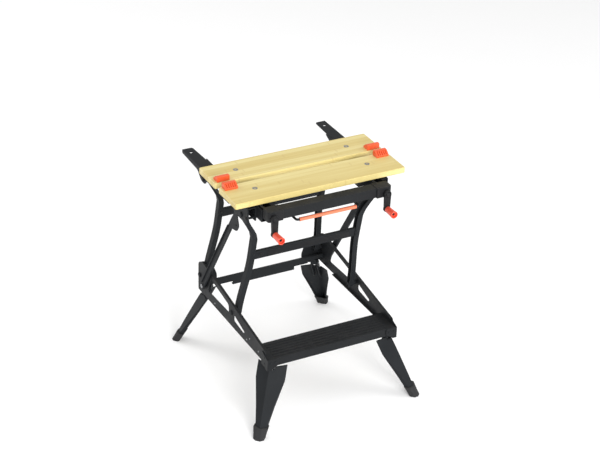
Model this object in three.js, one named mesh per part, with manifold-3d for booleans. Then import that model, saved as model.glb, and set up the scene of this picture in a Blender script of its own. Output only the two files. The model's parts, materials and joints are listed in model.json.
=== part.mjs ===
// Folding workbench: a two-jaw clamping top on a folding pair of strut frames,
// a stepped base and four fold-out legs. Millimetres, +Z up, front towards -Y.
import * as THREE from 'three';
import { mergeVertices } from 'three/addons/utils/BufferGeometryUtils.js';
import Module from 'manifold-3d';

const wasm = await Module();
wasm.setup();

// Clearances
const SEAT_GAP = 0.3;
const RUN_GAP = 0.4;

// Clamping top
const WORKTOP_HEIGHT = 786;
const JAW_LENGTH = 610;
const JAW_THICKNESS = 20;
const FRONT_JAW_WIDTH = 126;
const REAR_JAW_WIDTH = 124;
const JAW_GAP = 26;
const REAR_JAW_INNER_EDGE = -14;
const JAW_CHAMFER = 1.5;
const JAW_CORNER = 4;

// Clamping pegs
const PEG_LENGTH = 44;
const PEG_DEPTH = 28;
const PEG_HEIGHT = 18;
const PEG_TOP = 13;
const PEG_TOE_HEIGHT = 6;
const PEG_END_MARGIN = 9;
const PEG_EDGE_MARGIN = 4;
const PEG_STEM_RADIUS = 9.5;
const PEG_STEM_LENGTH = 16;
const PEG_GROOVES = 5;
const PEG_GROOVE_WIDTH = 3.4;
const PEG_GROOVE_DEPTH = 4;

// Vise channels, screws and saddles
const SCREW_X = 202;
const SCREW_DROP = 44;
const SCREW_RADIUS = 6;
const SCREW_COLLAR_RADIUS = 11;
const SCREW_COLLAR_LENGTH = 6;
const CHANNEL_WIDTH = 42;
const CHANNEL_WALL = 2.5;
const CHANNEL_BOTTOM_DROP = 60;
const CHANNEL_TOP_DROP = 30;
const CHANNEL_REAR = 112;
const CHANNEL_NOSE_DROP = 73;
const CHANNEL_NOSE_REAR = -112;
const SADDLE_INNER_X = 150;
const SADDLE_OUTER_X = 226;
const SADDLE_LENGTH = 82;
const SADDLE_FRONT_INSET = 33;
const SADDLE_LIP = 3;
const SADDLE_SKIRT_DROP = 54;
const NUT_LENGTH = 40;
const NUT_SIDE_GAP = 0.7;

// Front beam, end caps and cranks
const BEAM_FRONT = -222;
const BEAM_DEPTH = 36;
const BEAM_TOP_DROP = 22;
const BEAM_HEIGHT = 32;
const BEAM_WALL = 3;
const CAP_INNER_X = 168;
const CAP_OUTER_X = 221;
const CAP_PROUD = 4;
const CAP_RISE = 1;
const CAP_CORNER = 9;
const CRANK_HUB_RADIUS = 12;
const CRANK_TIP_RADIUS = 9;
const CRANK_THROW = 52;
const CRANK_THICKNESS = 10;
const CRANK_STUD_RADIUS = 4.5;
const GRIP_LENGTH = 45;
const GRIP_ROOT_RADIUS = 10.5;
const GRIP_TIP_RADIUS = 12.5;
const GRIP_MOUTH_RADIUS = 8;
const GRIP_MOUTH_DEPTH = 7;

// Side arms under the jaws
const ARM_OUTER_X = 270;
const ARM_NOSE_OUTER_X = 254;
const ARM_WALL = 3;
const ARM_TOP_DROP = 38;
const ARM_FRONT = -146;
const ARM_REAR = 322;
const ARM_REAR_INNER_X = 233;
const ARM_TAPER_FROM = 118;
const ARM_REAR_DEPTH = 12;
const ARM_MID_DROP = 66;
const ARM_NOSE_DROP = 96;
const ARM_NOSE_REAR = -38;
const ARM_INNER_DROP = 53;
const ARM_INNER_TAPER = 30;
const ARM_INNER_REAR = 226;
const ARM_BOSS = 15;
const ARM_INNER_BOSS = 10;
const ARM_SLOT_HEIGHT = 13;
const ARM_SLOT_FRONT = -28;
const ARM_SLOT_REAR = 124;
const ARM_HOLE_RADIUS = 5.5;
const ARM_HOLE_REAR_INSET = 32;

// Release bail
const BAIL_GRIP_Y = -208;
const BAIL_DROP = 78;
const BAIL_GRIP_HALF = 102;
const BAIL_GRIP_RADIUS = 6.5;
const BAIL_ROD_RADIUS = 4;
const BAIL_ARM_X = 112;
const BAIL_SHAFT_Y = -135;
const BAIL_END_PROUD = 2;
const BAIL_BEND = 9;

// Folding frames: each strut turns on a base pivot and carries a top pivot
const REAR_PIVOT_HEIGHT = 290;
const REAR_PIVOT_Y = 254;
const FRONT_PIVOT_HEIGHT = 280;
const FRONT_PIVOT_Y = 0;
const STRUT_TOP_DROP = 68;
const STRUT_SET_FORWARD = 100;
const STRUT_WAIST_X = 195;
const STRUT_TOP_X = 240;
const STRUT_FOOT_X = 214;
const STRUT_WIDTH = 18;
const STRUT_DEPTH = 21;
const STRUT_WALL = 2.5;
const STRUT_TOP_FLARE_FROM = 8;
const STRUT_TOP_FLARE_TO = 120;
const STRUT_FOOT_FLARE_FROM = 200;
const STRUT_STATIONS = 18;
const STRUT_END = 12;
const PIVOT_RADIUS = 5;
const PIVOT_HEAD_RADIUS = 9;
const PIVOT_HEAD = 2.6;
const PIVOT_SHOULDER_RADIUS = 8;
const FRONT_PLATE_FROM_TOP = 174;
const REAR_PLATE_FROM_TOP = 148;
const CROSS_PLATE_HEIGHT = 35;
const CROSS_PLATE_LIP = 9;
const CROSS_PLATE_INSET = 8;

// Lock struts: diagonal braces hooked on a stud of the side arm
const LOCK_FOOT_Y = 216;
const LOCK_FOOT_Z = 268;
const LOCK_HOOK_Y = -58;
const LOCK_HOOK_DROP = 86;
const LOCK_X = 243;
const LOCK_DEPTH = 7;
const LOCK_WALL = 3;
const LOCK_WIDTH = 24;
const LOCK_NECK = 18;
const LOCK_EAR_REACH = 38;
const LOCK_EAR_BOTTOM = 415;
const LOCK_EAR_TOP = 490;
const LOCK_EAR_HOLE_RADIUS = 3.5;
const LOCK_EAR_HOLE_FORWARD = 24;
const LOCK_EAR_HOLE_UP = 455;
const LOCK_TIP = 12;
const LOCK_MOUTH = 18;
const LOCK_STUD_RADIUS = 5;

// Base arms
const BASE_OUTER_X = 238;
const BASE_WALL = 3;
const BASE_ARM_FRONT = -256;
const BASE_ARM_REAR = 266;
const BASE_ARM_BOTTOM = 229;
const BASE_ARM_TOP_AT_MIDDLE = 315;
const BASE_ARM_SLOPE = 0.158;
const BASE_ARM_CREST_Y = 228;
const BASE_ARM_CREST_DROP = 12;
const BASE_TOP_FLANGE = 6;
const BASE_BOTTOM_FLANGE = 9;
const BASE_BOTTOM_FLANGE_HALF = 150;

// Step tread and rear cross member
const STEP_FRONT = -275;
const STEP_DEPTH = 99;
const STEP_TOP = 254;
const STEP_WALL = 3;
const STEP_LIP = 28;
const STEP_BACK_LIP = 10;
const STEP_LIP_HALF = 222;
const STEP_RIB_ROWS = 6;
const STEP_RIB_WIDTH = 5;
const STEP_RIB_HEIGHT = 1.6;
const STEP_RIB_MARGIN = 26;
const STEP_RIB_GAP = 18;
const REAR_BAR_FRONT = 236;
const REAR_BAR_DEPTH = 10;
const REAR_BAR_BOTTOM = 231;
const REAR_BAR_TOP = 267;
const REAR_BAR_WALL = 3;
const REAR_BAR_LEG_NOTCH_X = 120;
const REAR_BAR_LEG_NOTCH = 13;
const REAR_BAR_LUG_NOTCH_X = 174;

// Corner brackets
const BRACKET_WALL = 3;
const BRACKET_BOTTOM = 219;
const BRACKET_TAB_BOTTOM = 214;
const BRACKET_TAB = 16;
const FRONT_BRACKET_TOP = 270;
const FRONT_BRACKET_WRAP = 46;
const FRONT_BRACKET_FACE = 41;
const REAR_BRACKET_BOTTOM = 224;
const REAR_PLATE_Y = 269;
const REAR_GUSSET_TOP = 330;
const REAR_GUSSET_FLAT = 20;
const REAR_GUSSET_TOE = 40;
const REAR_GUSSET_INNER_X = 166;
const REAR_GUSSET_SHOULDER_X = 184;
const REAR_GUSSET_SHOULDER = 316;
const REAR_GUSSET_WAIST = 268;
const REAR_BRACKET_RETURN = 9.5;

// Legs: pressed vee channels on diagonal hinge pins
const LEG_PIN_X = 206;
const LEG_PIN_Y = 243;
const LEG_PIN_HEIGHT = 238;
const LEG_PIN_RADIUS = 4;
const LEG_PIN_HALF = 15;
const LEG_FOOT_X = 293;
const LEG_WALL = 2.6;
const LEG_LUG_HALF = 9;
const LEG_LUG_RADIUS = 9;
const LEG_EAR = 4;
const LEG_EAR_DROP = 78;
const LEG_NOTCH_HALF = 17;
const LEG_NOTCH_DROP = 30;
const LEG_END_HEIGHT = 12;
// Drop below the pin, half width, vee depth, flange depth, ridge proud of the axis
const LEG_SECTIONS = [
  [22, 50, 33, 4, 18],
  [70, 50, 31, 7, 18],
  [150, 31, 19, 12, 16],
  [238, 14, 6, 15, 12],
];
const TONGUE_BOTTOM = 246;
const TONGUE_THICKNESS = 4.7;
const FOOT_HEIGHT = 36;
const FOOT_WALL = 3.5;
const FOOT_SPREAD = 1;

// Facets of round pieces
const ARC_STEPS = 3;
const ROUND_SIDES = 12;
const TURNED_SIDES = 16;

// Places worked out from the driving dimensions
const JAW_BOTTOM = WORKTOP_HEIGHT - JAW_THICKNESS;
const SCREW_HEIGHT = WORKTOP_HEIGHT - SCREW_DROP;
const CHANNEL_BOTTOM = WORKTOP_HEIGHT - CHANNEL_BOTTOM_DROP;
const CHANNEL_TOP = WORKTOP_HEIGHT - CHANNEL_TOP_DROP;
const CHANNEL_NOSE_BOTTOM = WORKTOP_HEIGHT - CHANNEL_NOSE_DROP;
const BEAM_TOP = WORKTOP_HEIGHT - BEAM_TOP_DROP;
const BEAM_BOTTOM = BEAM_TOP - BEAM_HEIGHT;
const ARM_TOP = WORKTOP_HEIGHT - ARM_TOP_DROP;
const ARM_MID_BOTTOM = WORKTOP_HEIGHT - ARM_MID_DROP;
const ARM_NOSE_BOTTOM = WORKTOP_HEIGHT - ARM_NOSE_DROP;
const ARM_INNER_BOTTOM = WORKTOP_HEIGHT - ARM_INNER_DROP;
const BAIL_HEIGHT = WORKTOP_HEIGHT - BAIL_DROP;
const BAIL_SHAFT_END_X = ARM_NOSE_OUTER_X + BAIL_END_PROUD;
const LOCK_HOOK_Z = WORKTOP_HEIGHT - LOCK_HOOK_DROP;
const STRUT_RISE = WORKTOP_HEIGHT - STRUT_TOP_DROP - REAR_PIVOT_HEIGHT;
const FRONT_JAW_INNER_EDGE = REAR_JAW_INNER_EDGE - JAW_GAP;
const FRONT_JAW_OUTER_EDGE = FRONT_JAW_INNER_EDGE - FRONT_JAW_WIDTH;
const CHANNEL_INNER_X = SCREW_X - CHANNEL_WIDTH / 2;
const CHANNEL_OUTER_X = SCREW_X + CHANNEL_WIDTH / 2;
const BEAM_BACK = BEAM_FRONT + BEAM_DEPTH;
const CAP_FRONT = BEAM_FRONT - CAP_PROUD;
const CAP_BACK = BEAM_BACK + CAP_RISE;
const CRANK_BACK = CAP_FRONT - 2;
const CRANK_FRONT = CRANK_BACK - CRANK_THICKNESS;
const GRIP_HEIGHT = SCREW_HEIGHT - CRANK_THROW;
const BASE_INNER_X = BASE_OUTER_X - BASE_WALL;
const STRUT_LENGTH = Math.hypot(STRUT_RISE, STRUT_SET_FORWARD);
const STRUT_LEAN = Math.atan2(STRUT_SET_FORWARD, STRUT_RISE);
const REAR_TOP_PIVOT_HEIGHT = REAR_PIVOT_HEIGHT + STRUT_RISE;
const FRONT_TOP_PIVOT_HEIGHT = FRONT_PIVOT_HEIGHT + STRUT_RISE;
const REAR_TOP_PIVOT_Y = REAR_PIVOT_Y - STRUT_SET_FORWARD;
const FRONT_TOP_PIVOT_Y = FRONT_PIVOT_Y - STRUT_SET_FORWARD;
const LOCK_LENGTH = Math.hypot(LOCK_FOOT_Y - LOCK_HOOK_Y, LOCK_HOOK_Z - LOCK_FOOT_Z);
const LOCK_LEAN = Math.atan2(LOCK_FOOT_Y - LOCK_HOOK_Y, LOCK_HOOK_Z - LOCK_FOOT_Z);
const LEG_SPLAY = (LEG_FOOT_X - LEG_PIN_X) * Math.SQRT2;
const LEG_SLOPE = LEG_SPLAY / LEG_PIN_HEIGHT;
const baseArmTop = (y) => BASE_ARM_TOP_AT_MIDDLE + BASE_ARM_SLOPE * y;

// Finishes
const finish = (color, roughness, metalness) =>
  new THREE.MeshStandardMaterial({ color, roughness, metalness });
const blackPaint = () => finish(0x333436, 0.5, 0.3);
const greyPaint = () => finish(0x3c3d3f, 0.55, 0.25);
const steel = () => finish(0x8d9094, 0.35, 0.9);
const bamboo = () => finish(0xe8d49a, 0.6, 0);
const orangePlastic = () => finish(0xe2512f, 0.45, 0);
const redPlastic = () => finish(0xf0503c, 0.4, 0);
const salmonPlastic = () => finish(0xe07858, 0.5, 0);
const darkPlastic = () => finish(0x262728, 0.6, 0);
const rubber = () => finish(0x1f2020, 0.85, 0);

const vector = (x, y, z) => new THREE.Vector3(x, y, z);

// Joining and cutting closed meshes
function solidOf(geometry) {
  const bare = geometry.clone();
  bare.deleteAttribute('normal');
  bare.deleteAttribute('uv');
  const merged = mergeVertices(bare, 1e-4);
  const corners = merged.index.array;
  const kept = [];
  for (let i = 0; i < corners.length; i += 3) {
    const [a, b, c] = corners.slice(i, i + 3);
    if (a !== b && b !== c && c !== a) kept.push(a, b, c);
  }
  return new wasm.Manifold(
    new wasm.Mesh({
      numProp: 3,
      vertProperties: merged.attributes.position.array,
      triVerts: new Uint32Array(kept),
    }),
  );
}

function geometryOf(solid) {
  const mesh = solid.getMesh();
  const geometry = new THREE.BufferGeometry();
  geometry.setAttribute('position', new THREE.BufferAttribute(mesh.vertProperties, 3));
  geometry.setIndex(new THREE.BufferAttribute(mesh.triVerts, 1));
  geometry.computeVertexNormals();
  return geometry;
}

const join = (...pieces) =>
  geometryOf(pieces.map(solidOf).reduce((whole, piece) => whole.add(piece)));
const cut = (whole, ...tools) =>
  geometryOf(tools.map(solidOf).reduce((rest, tool) => rest.subtract(tool), solidOf(whole)));

// A closed path through corner points; a third number rounds that corner.
function trace(path, corners) {
  corners.forEach(([a, b, radius = 0], i) => {
    const here = new THREE.Vector2(a, b);
    const toward = ([c, d]) => {
      const edge = new THREE.Vector2(c, d).sub(here);
      return edge.setLength(Math.min(radius, edge.length() * 0.48)).add(here);
    };
    const entry = toward(corners.at(i - 1));
    const exit = toward(corners[(i + 1) % corners.length]);
    if (i === 0) path.moveTo(entry.x, entry.y);
    else path.lineTo(entry.x, entry.y);
    if (radius > 0) path.quadraticCurveTo(a, b, exit.x, exit.y);
  });
  path.closePath();
  return path;
}

function outline(corners, ...holes) {
  const shape = trace(new THREE.Shape(), corners);
  shape.holes = holes.map((hole) => trace(new THREE.Path(), hole));
  return shape;
}

const extrude = (shape, depth) =>
  new THREE.ExtrudeGeometry(shape, { depth, bevelEnabled: false, curveSegments: ARC_STEPS });

const Y_Z_TO_X = new THREE.Matrix4().makeBasis(vector(0, 1, 0), vector(0, 0, 1), vector(1, 0, 0));
const X_Z_TO_Y = new THREE.Matrix4().makeBasis(vector(1, 0, 0), vector(0, 0, 1), vector(0, -1, 0));

// Plates: a (y, z) outline given a thickness in X, an (x, z) one in Y, an (x, y) one in Z
const sidePlate = (shape, x0, x1) =>
  extrude(shape, x1 - x0).applyMatrix4(Y_Z_TO_X).translate(x0, 0, 0);
const frontPlate = (shape, y0, y1) =>
  extrude(shape, y1 - y0).applyMatrix4(X_Z_TO_Y).translate(0, y1, 0);
const flatPlate = (shape, z0, z1) => extrude(shape, z1 - z0).translate(0, 0, z0);

const block = (x0, x1, y0, y1, z0, z1) =>
  new THREE.BoxGeometry(x1 - x0, y1 - y0, z1 - z0).translate(
    (x0 + x1) / 2,
    (y0 + y1) / 2,
    (z0 + z1) / 2,
  );

const rodX = (radius, x0, x1, y, z, sides = ROUND_SIDES) =>
  new THREE.CylinderGeometry(radius, radius, x1 - x0, sides)
    .rotateZ(Math.PI / 2)
    .translate((x0 + x1) / 2, y, z);
const rodY = (radius, y0, y1, x, z, sides = ROUND_SIDES) =>
  new THREE.CylinderGeometry(radius, radius, y1 - y0, sides).translate(x, (y0 + y1) / 2, z);
const rodZ = (radius, z0, z1, x, y, sides = ROUND_SIDES) =>
  new THREE.CylinderGeometry(radius, radius, z1 - z0, sides)
    .rotateX(Math.PI / 2)
    .translate(x, y, (z0 + z1) / 2);

// A turned piece about the Y axis from (radius, y) points that start and end on the axis
const turned = (profile, sides = TURNED_SIDES) =>
  new THREE.LatheGeometry(
    profile.map(([radius, along]) => new THREE.Vector2(radius, along)),
    sides,
  );

// Skin over matching rings of points, closed by a flat face at each end
function loft(sections, place) {
  const count = sections[0].length;
  const points = sections.flatMap((section, level) => section.map((p) => place(p, level)));
  const index = [];
  for (let level = 0; level + 1 < sections.length; level += 1) {
    for (let i = 0; i < count; i += 1) {
      const a = level * count + i;
      const b = level * count + ((i + 1) % count);
      index.push(a, b, b + count, a, b + count, a + count);
    }
  }
  const flat = (section) => section.map(([a, b]) => new THREE.Vector2(a, b));
  const last = (sections.length - 1) * count;
  for (const [a, b, c] of THREE.ShapeUtils.triangulateShape(flat(sections[0]), [])) {
    index.push(a, c, b);
  }
  for (const [a, b, c] of THREE.ShapeUtils.triangulateShape(flat(sections.at(-1)), [])) {
    index.push(last + a, last + b, last + c);
  }
  const geometry = new THREE.BufferGeometry().setFromPoints(points);
  geometry.setIndex(index);
  return geometry;
}

// The same piece on the left side
function mirrored(geometry) {
  const flipped = geometry.clone().scale(-1, 1, 1);
  const corners = flipped.index.array;
  for (let i = 0; i < corners.length; i += 3) {
    [corners[i], corners[i + 1]] = [corners[i + 1], corners[i]];
  }
  flipped.computeVertexNormals();
  return flipped;
}

const bench = new THREE.Group();

function add(name, geometry, material, parent = bench) {
  const mesh = new THREE.Mesh(geometry.index ? geometry : mergeVertices(geometry), material);
  mesh.name = name;
  parent.add(mesh);
  return mesh;
}

function addPair(name, rightGeometry, material, parent = bench) {
  const whole = join(rightGeometry);
  add(`${name}_right`, whole, material(), parent);
  add(`${name}_left`, mirrored(whole), material(), parent);
}

const smoothstep = (t) => {
  const held = Math.min(Math.max(t, 0), 1);
  return held * held * (3 - 2 * held);
};

// Jaws and pegs
const PEG_X = JAW_LENGTH / 2 - PEG_END_MARGIN - PEG_LENGTH / 2;
const PEG_TO_EDGE = PEG_EDGE_MARGIN + PEG_DEPTH / 2;
const pegRows = [
  ['front', FRONT_JAW_INNER_EDGE - PEG_TO_EDGE, -1],
  ['rear', REAR_JAW_INNER_EDGE + PEG_TO_EDGE, 1],
];

function jaw(y0, y1, pegY) {
  const half = JAW_LENGTH / 2 - JAW_CHAMFER;
  const shape = outline([
    [-half, y0 + JAW_CHAMFER, JAW_CORNER],
    [half, y0 + JAW_CHAMFER, JAW_CORNER],
    [half, y1 - JAW_CHAMFER, JAW_CORNER],
    [-half, y1 - JAW_CHAMFER, JAW_CORNER],
  ]);
  const board = new THREE.ExtrudeGeometry(shape, {
    depth: JAW_THICKNESS - 2 * JAW_CHAMFER,
    bevelThickness: JAW_CHAMFER,
    bevelSize: JAW_CHAMFER,
    bevelSegments: 1,
    curveSegments: ARC_STEPS,
  }).translate(0, 0, JAW_BOTTOM + JAW_CHAMFER);
  const holes = [-PEG_X, PEG_X].map((x) =>
    rodZ(PEG_STEM_RADIUS + RUN_GAP, JAW_BOTTOM - 1, WORKTOP_HEIGHT + 1, x, pegY, TURNED_SIDES),
  );
  return cut(board, ...holes);
}

// A peg about its stem: a wedge with a flat clamping face and a grooved slope behind it
function peg() {
  const half = PEG_DEPTH / 2;
  const wedge = sidePlate(
    outline([
      [half, 0],
      [half, PEG_HEIGHT, 2],
      [half - PEG_TOP, PEG_HEIGHT, 3],
      [-half, PEG_TOE_HEIGHT, 2],
      [-half, 0],
    ]),
    -PEG_LENGTH / 2,
    PEG_LENGTH / 2,
  );
  const stem = rodZ(PEG_STEM_RADIUS, -PEG_STEM_LENGTH, 1, 0, 0, TURNED_SIDES);
  const slope = Math.atan2(PEG_HEIGHT - PEG_TOE_HEIGHT, PEG_DEPTH - PEG_TOP);
  const slopeLength = Math.hypot(PEG_HEIGHT - PEG_TOE_HEIGHT, PEG_DEPTH - PEG_TOP);
  const pitch = PEG_LENGTH / (PEG_GROOVES + 1);
  const grooves = [];
  for (let i = 1; i <= PEG_GROOVES; i += 1) {
    const groove = block(
      -PEG_GROOVE_WIDTH / 2,
      PEG_GROOVE_WIDTH / 2,
      2,
      slopeLength - 1,
      -PEG_GROOVE_DEPTH,
      PEG_GROOVE_DEPTH,
    );
    groove.rotateX(slope);
    groove.translate(i * pitch - PEG_LENGTH / 2, -half, PEG_TOE_HEIGHT);
    grooves.push(groove);
  }
  return cut(join(wedge, stem), ...grooves);
}

add('front_jaw', jaw(FRONT_JAW_OUTER_EDGE, FRONT_JAW_INNER_EDGE, pegRows[0][1]), bamboo());
add(
  'rear_jaw',
  jaw(REAR_JAW_INNER_EDGE, REAR_JAW_INNER_EDGE + REAR_JAW_WIDTH, pegRows[1][1]),
  bamboo(),
);
for (const [row, y, facing] of pegRows) {
  for (const [side, x] of [['left', -PEG_X], ['right', PEG_X]]) {
    const mesh = add(`${row}_peg_${side}`, peg(), orangePlastic());
    mesh.position.set(x, y, WORKTOP_HEIGHT + SEAT_GAP);
    mesh.rotation.z = facing < 0 ? 0 : Math.PI;
  }
}

// Vise channel: an open trough, deeper at the nose, whose walls rise to carry the rear jaw
function viseChannel() {
  const front = CAP_BACK + SEAT_GAP;
  const side = outline([
    [front, CHANNEL_NOSE_BOTTOM, 3],
    [CHANNEL_NOSE_REAR - 10, CHANNEL_NOSE_BOTTOM, 6],
    [CHANNEL_NOSE_REAR, CHANNEL_BOTTOM, 6],
    [CHANNEL_REAR, CHANNEL_BOTTOM],
    [CHANNEL_REAR, JAW_BOTTOM, 3],
    [REAR_JAW_INNER_EDGE + 8, JAW_BOTTOM, 3],
    [REAR_JAW_INNER_EDGE + 2, CHANNEL_TOP],
    [front, CHANNEL_TOP],
  ]);
  const trough = sidePlate(side, CHANNEL_INNER_X, CHANNEL_OUTER_X);
  const innerX = [CHANNEL_INNER_X + CHANNEL_WALL, CHANNEL_OUTER_X - CHANNEL_WALL];
  const hollow = block(
    ...innerX,
    front - 1,
    CHANNEL_REAR - CHANNEL_WALL,
    CHANNEL_BOTTOM + CHANNEL_WALL,
    WORKTOP_HEIGHT,
  );
  const noseHollow = block(
    ...innerX,
    front - 1,
    CHANNEL_NOSE_REAR - 10 - CHANNEL_WALL,
    CHANNEL_NOSE_BOTTOM + CHANNEL_WALL,
    WORKTOP_HEIGHT,
  );
  const bearing = rodY(
    SCREW_RADIUS + RUN_GAP,
    CHANNEL_REAR - 2 * CHANNEL_WALL,
    CHANNEL_REAR + 1,
    SCREW_X,
    SCREW_HEIGHT,
  );
  return cut(trough, hollow, noseHollow, bearing);
}
addPair('vise_channel', viseChannel(), blackPaint);

// Saddle: a plate under the front jaw, a hollow skirt beside the channel, the screw's nut in it
function saddle() {
  const y0 = FRONT_JAW_OUTER_EDGE + SADDLE_FRONT_INSET;
  const y1 = y0 + SADDLE_LENGTH;
  const plateBottom = CHANNEL_TOP + SEAT_GAP;
  const skirtOuter = CHANNEL_INNER_X - NUT_SIDE_GAP;
  const skirtBottom = WORKTOP_HEIGHT - SADDLE_SKIRT_DROP;
  const nutY = (y0 + y1) / 2;
  const plate = block(SADDLE_INNER_X, SADDLE_OUTER_X, y0, y1, plateBottom, JAW_BOTTOM);
  const skirt = block(SADDLE_INNER_X, skirtOuter, y0, y1, skirtBottom, JAW_BOTTOM);
  const pocket = block(
    SADDLE_INNER_X + SADDLE_LIP,
    skirtOuter - SADDLE_LIP,
    y0 + SADDLE_LIP,
    y1 - SADDLE_LIP,
    skirtBottom - 1,
    JAW_BOTTOM - SADDLE_LIP,
  );
  const nut = block(
    CHANNEL_INNER_X + CHANNEL_WALL + NUT_SIDE_GAP,
    CHANNEL_OUTER_X - CHANNEL_WALL - NUT_SIDE_GAP,
    nutY - NUT_LENGTH / 2,
    nutY + NUT_LENGTH / 2,
    CHANNEL_BOTTOM + CHANNEL_WALL + NUT_SIDE_GAP,
    plateBottom + 1,
  );
  const bore = rodY(
    SCREW_RADIUS + RUN_GAP,
    nutY - NUT_LENGTH,
    nutY + NUT_LENGTH,
    SCREW_X,
    SCREW_HEIGHT,
  );
  return cut(join(cut(join(plate, skirt), pocket), nut), bore);
}
addPair('saddle', saddle(), darkPlastic);

// Front beam: a channel open to the rear, between moulded end caps that hold the screws
function frontBeam() {
  const half = CAP_INNER_X - SEAT_GAP;
  const bar = block(-half, half, BEAM_FRONT, BEAM_BACK, BEAM_BOTTOM, BEAM_TOP);
  const hollow = block(
    -half - 1,
    half + 1,
    BEAM_FRONT + BEAM_WALL,
    BEAM_BACK + 1,
    BEAM_BOTTOM + BEAM_WALL,
    BEAM_TOP - BEAM_WALL,
  );
  return cut(bar, hollow);
}
add('front_beam', frontBeam(), greyPaint());

function endCap() {
  const body = flatPlate(
    outline([
      [CAP_INNER_X, CAP_FRONT, 2],
      [CAP_OUTER_X, CAP_FRONT, CAP_CORNER],
      [CAP_OUTER_X, CAP_BACK, 3],
      [CAP_INNER_X, CAP_BACK],
    ]),
    BEAM_BOTTOM - 2 * CAP_RISE,
    BEAM_TOP + CAP_RISE,
  );
  const bore = rodY(
    SCREW_RADIUS + RUN_GAP,
    CAP_FRONT - 1,
    BEAM_BACK + 1,
    SCREW_X,
    SCREW_HEIGHT,
  );
  return cut(body, bore);
}
addPair('beam_end_cap', endCap(), darkPlastic);

// Lead screw: a plain rod at its root size with a thrust collar behind the cap
function leadScrew() {
  const shaft = rodY(
    SCREW_RADIUS,
    CRANK_FRONT + 2,
    CHANNEL_REAR + 2,
    SCREW_X,
    SCREW_HEIGHT,
  );
  const collar = rodY(
    SCREW_COLLAR_RADIUS,
    CAP_BACK + SEAT_GAP,
    CAP_BACK + SEAT_GAP + SCREW_COLLAR_LENGTH,
    SCREW_X,
    SCREW_HEIGHT,
    TURNED_SIDES,
  );
  return join(shaft, collar);
}
addPair('lead_screw', leadScrew(), steel);

// Crank arm: a tapered web from the hub down to the stud that the grip turns on
function crankArm() {
  const top = SCREW_HEIGHT + CRANK_HUB_RADIUS;
  const tip = GRIP_HEIGHT - CRANK_TIP_RADIUS;
  const web = frontPlate(
    outline([
      [SCREW_X - CRANK_HUB_RADIUS, top, CRANK_HUB_RADIUS],
      [SCREW_X - CRANK_TIP_RADIUS, tip, CRANK_TIP_RADIUS],
      [SCREW_X + CRANK_TIP_RADIUS, tip, CRANK_TIP_RADIUS],
      [SCREW_X + CRANK_HUB_RADIUS, top, CRANK_HUB_RADIUS],
    ]),
    CRANK_FRONT,
    CRANK_BACK,
  );
  const stud = rodY(
    CRANK_STUD_RADIUS,
    CRANK_FRONT - GRIP_LENGTH + GRIP_MOUTH_DEPTH,
    CRANK_FRONT + 1,
    SCREW_X,
    GRIP_HEIGHT,
  );
  const bore = rodY(
    SCREW_RADIUS + SEAT_GAP,
    CRANK_FRONT + 1.5,
    CRANK_BACK + 1,
    SCREW_X,
    SCREW_HEIGHT,
  );
  return cut(join(web, stud), bore);
}
addPair('crank_arm', crankArm(), darkPlastic);

function crankGrip() {
  const root = CRANK_FRONT - RUN_GAP;
  const tip = root - GRIP_LENGTH;
  const sleeve = turned([
    [0, tip],
    [GRIP_TIP_RADIUS - 1.5, tip],
    [GRIP_TIP_RADIUS, tip + 2.5],
    [GRIP_ROOT_RADIUS, root - 2],
    [GRIP_ROOT_RADIUS - 1.5, root],
    [0, root],
  ]).translate(SCREW_X, 0, GRIP_HEIGHT);
  const bore = rodY(CRANK_STUD_RADIUS + RUN_GAP, tip - 1, root + 1, SCREW_X, GRIP_HEIGHT);
  const mouth = rodY(
    GRIP_MOUTH_RADIUS,
    tip - 1,
    tip + GRIP_MOUTH_DEPTH,
    SCREW_X,
    GRIP_HEIGHT,
    TURNED_SIDES,
  );
  return cut(sleeve, bore, mouth);
}
addPair('crank_grip', crankGrip(), redPlastic);

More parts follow.
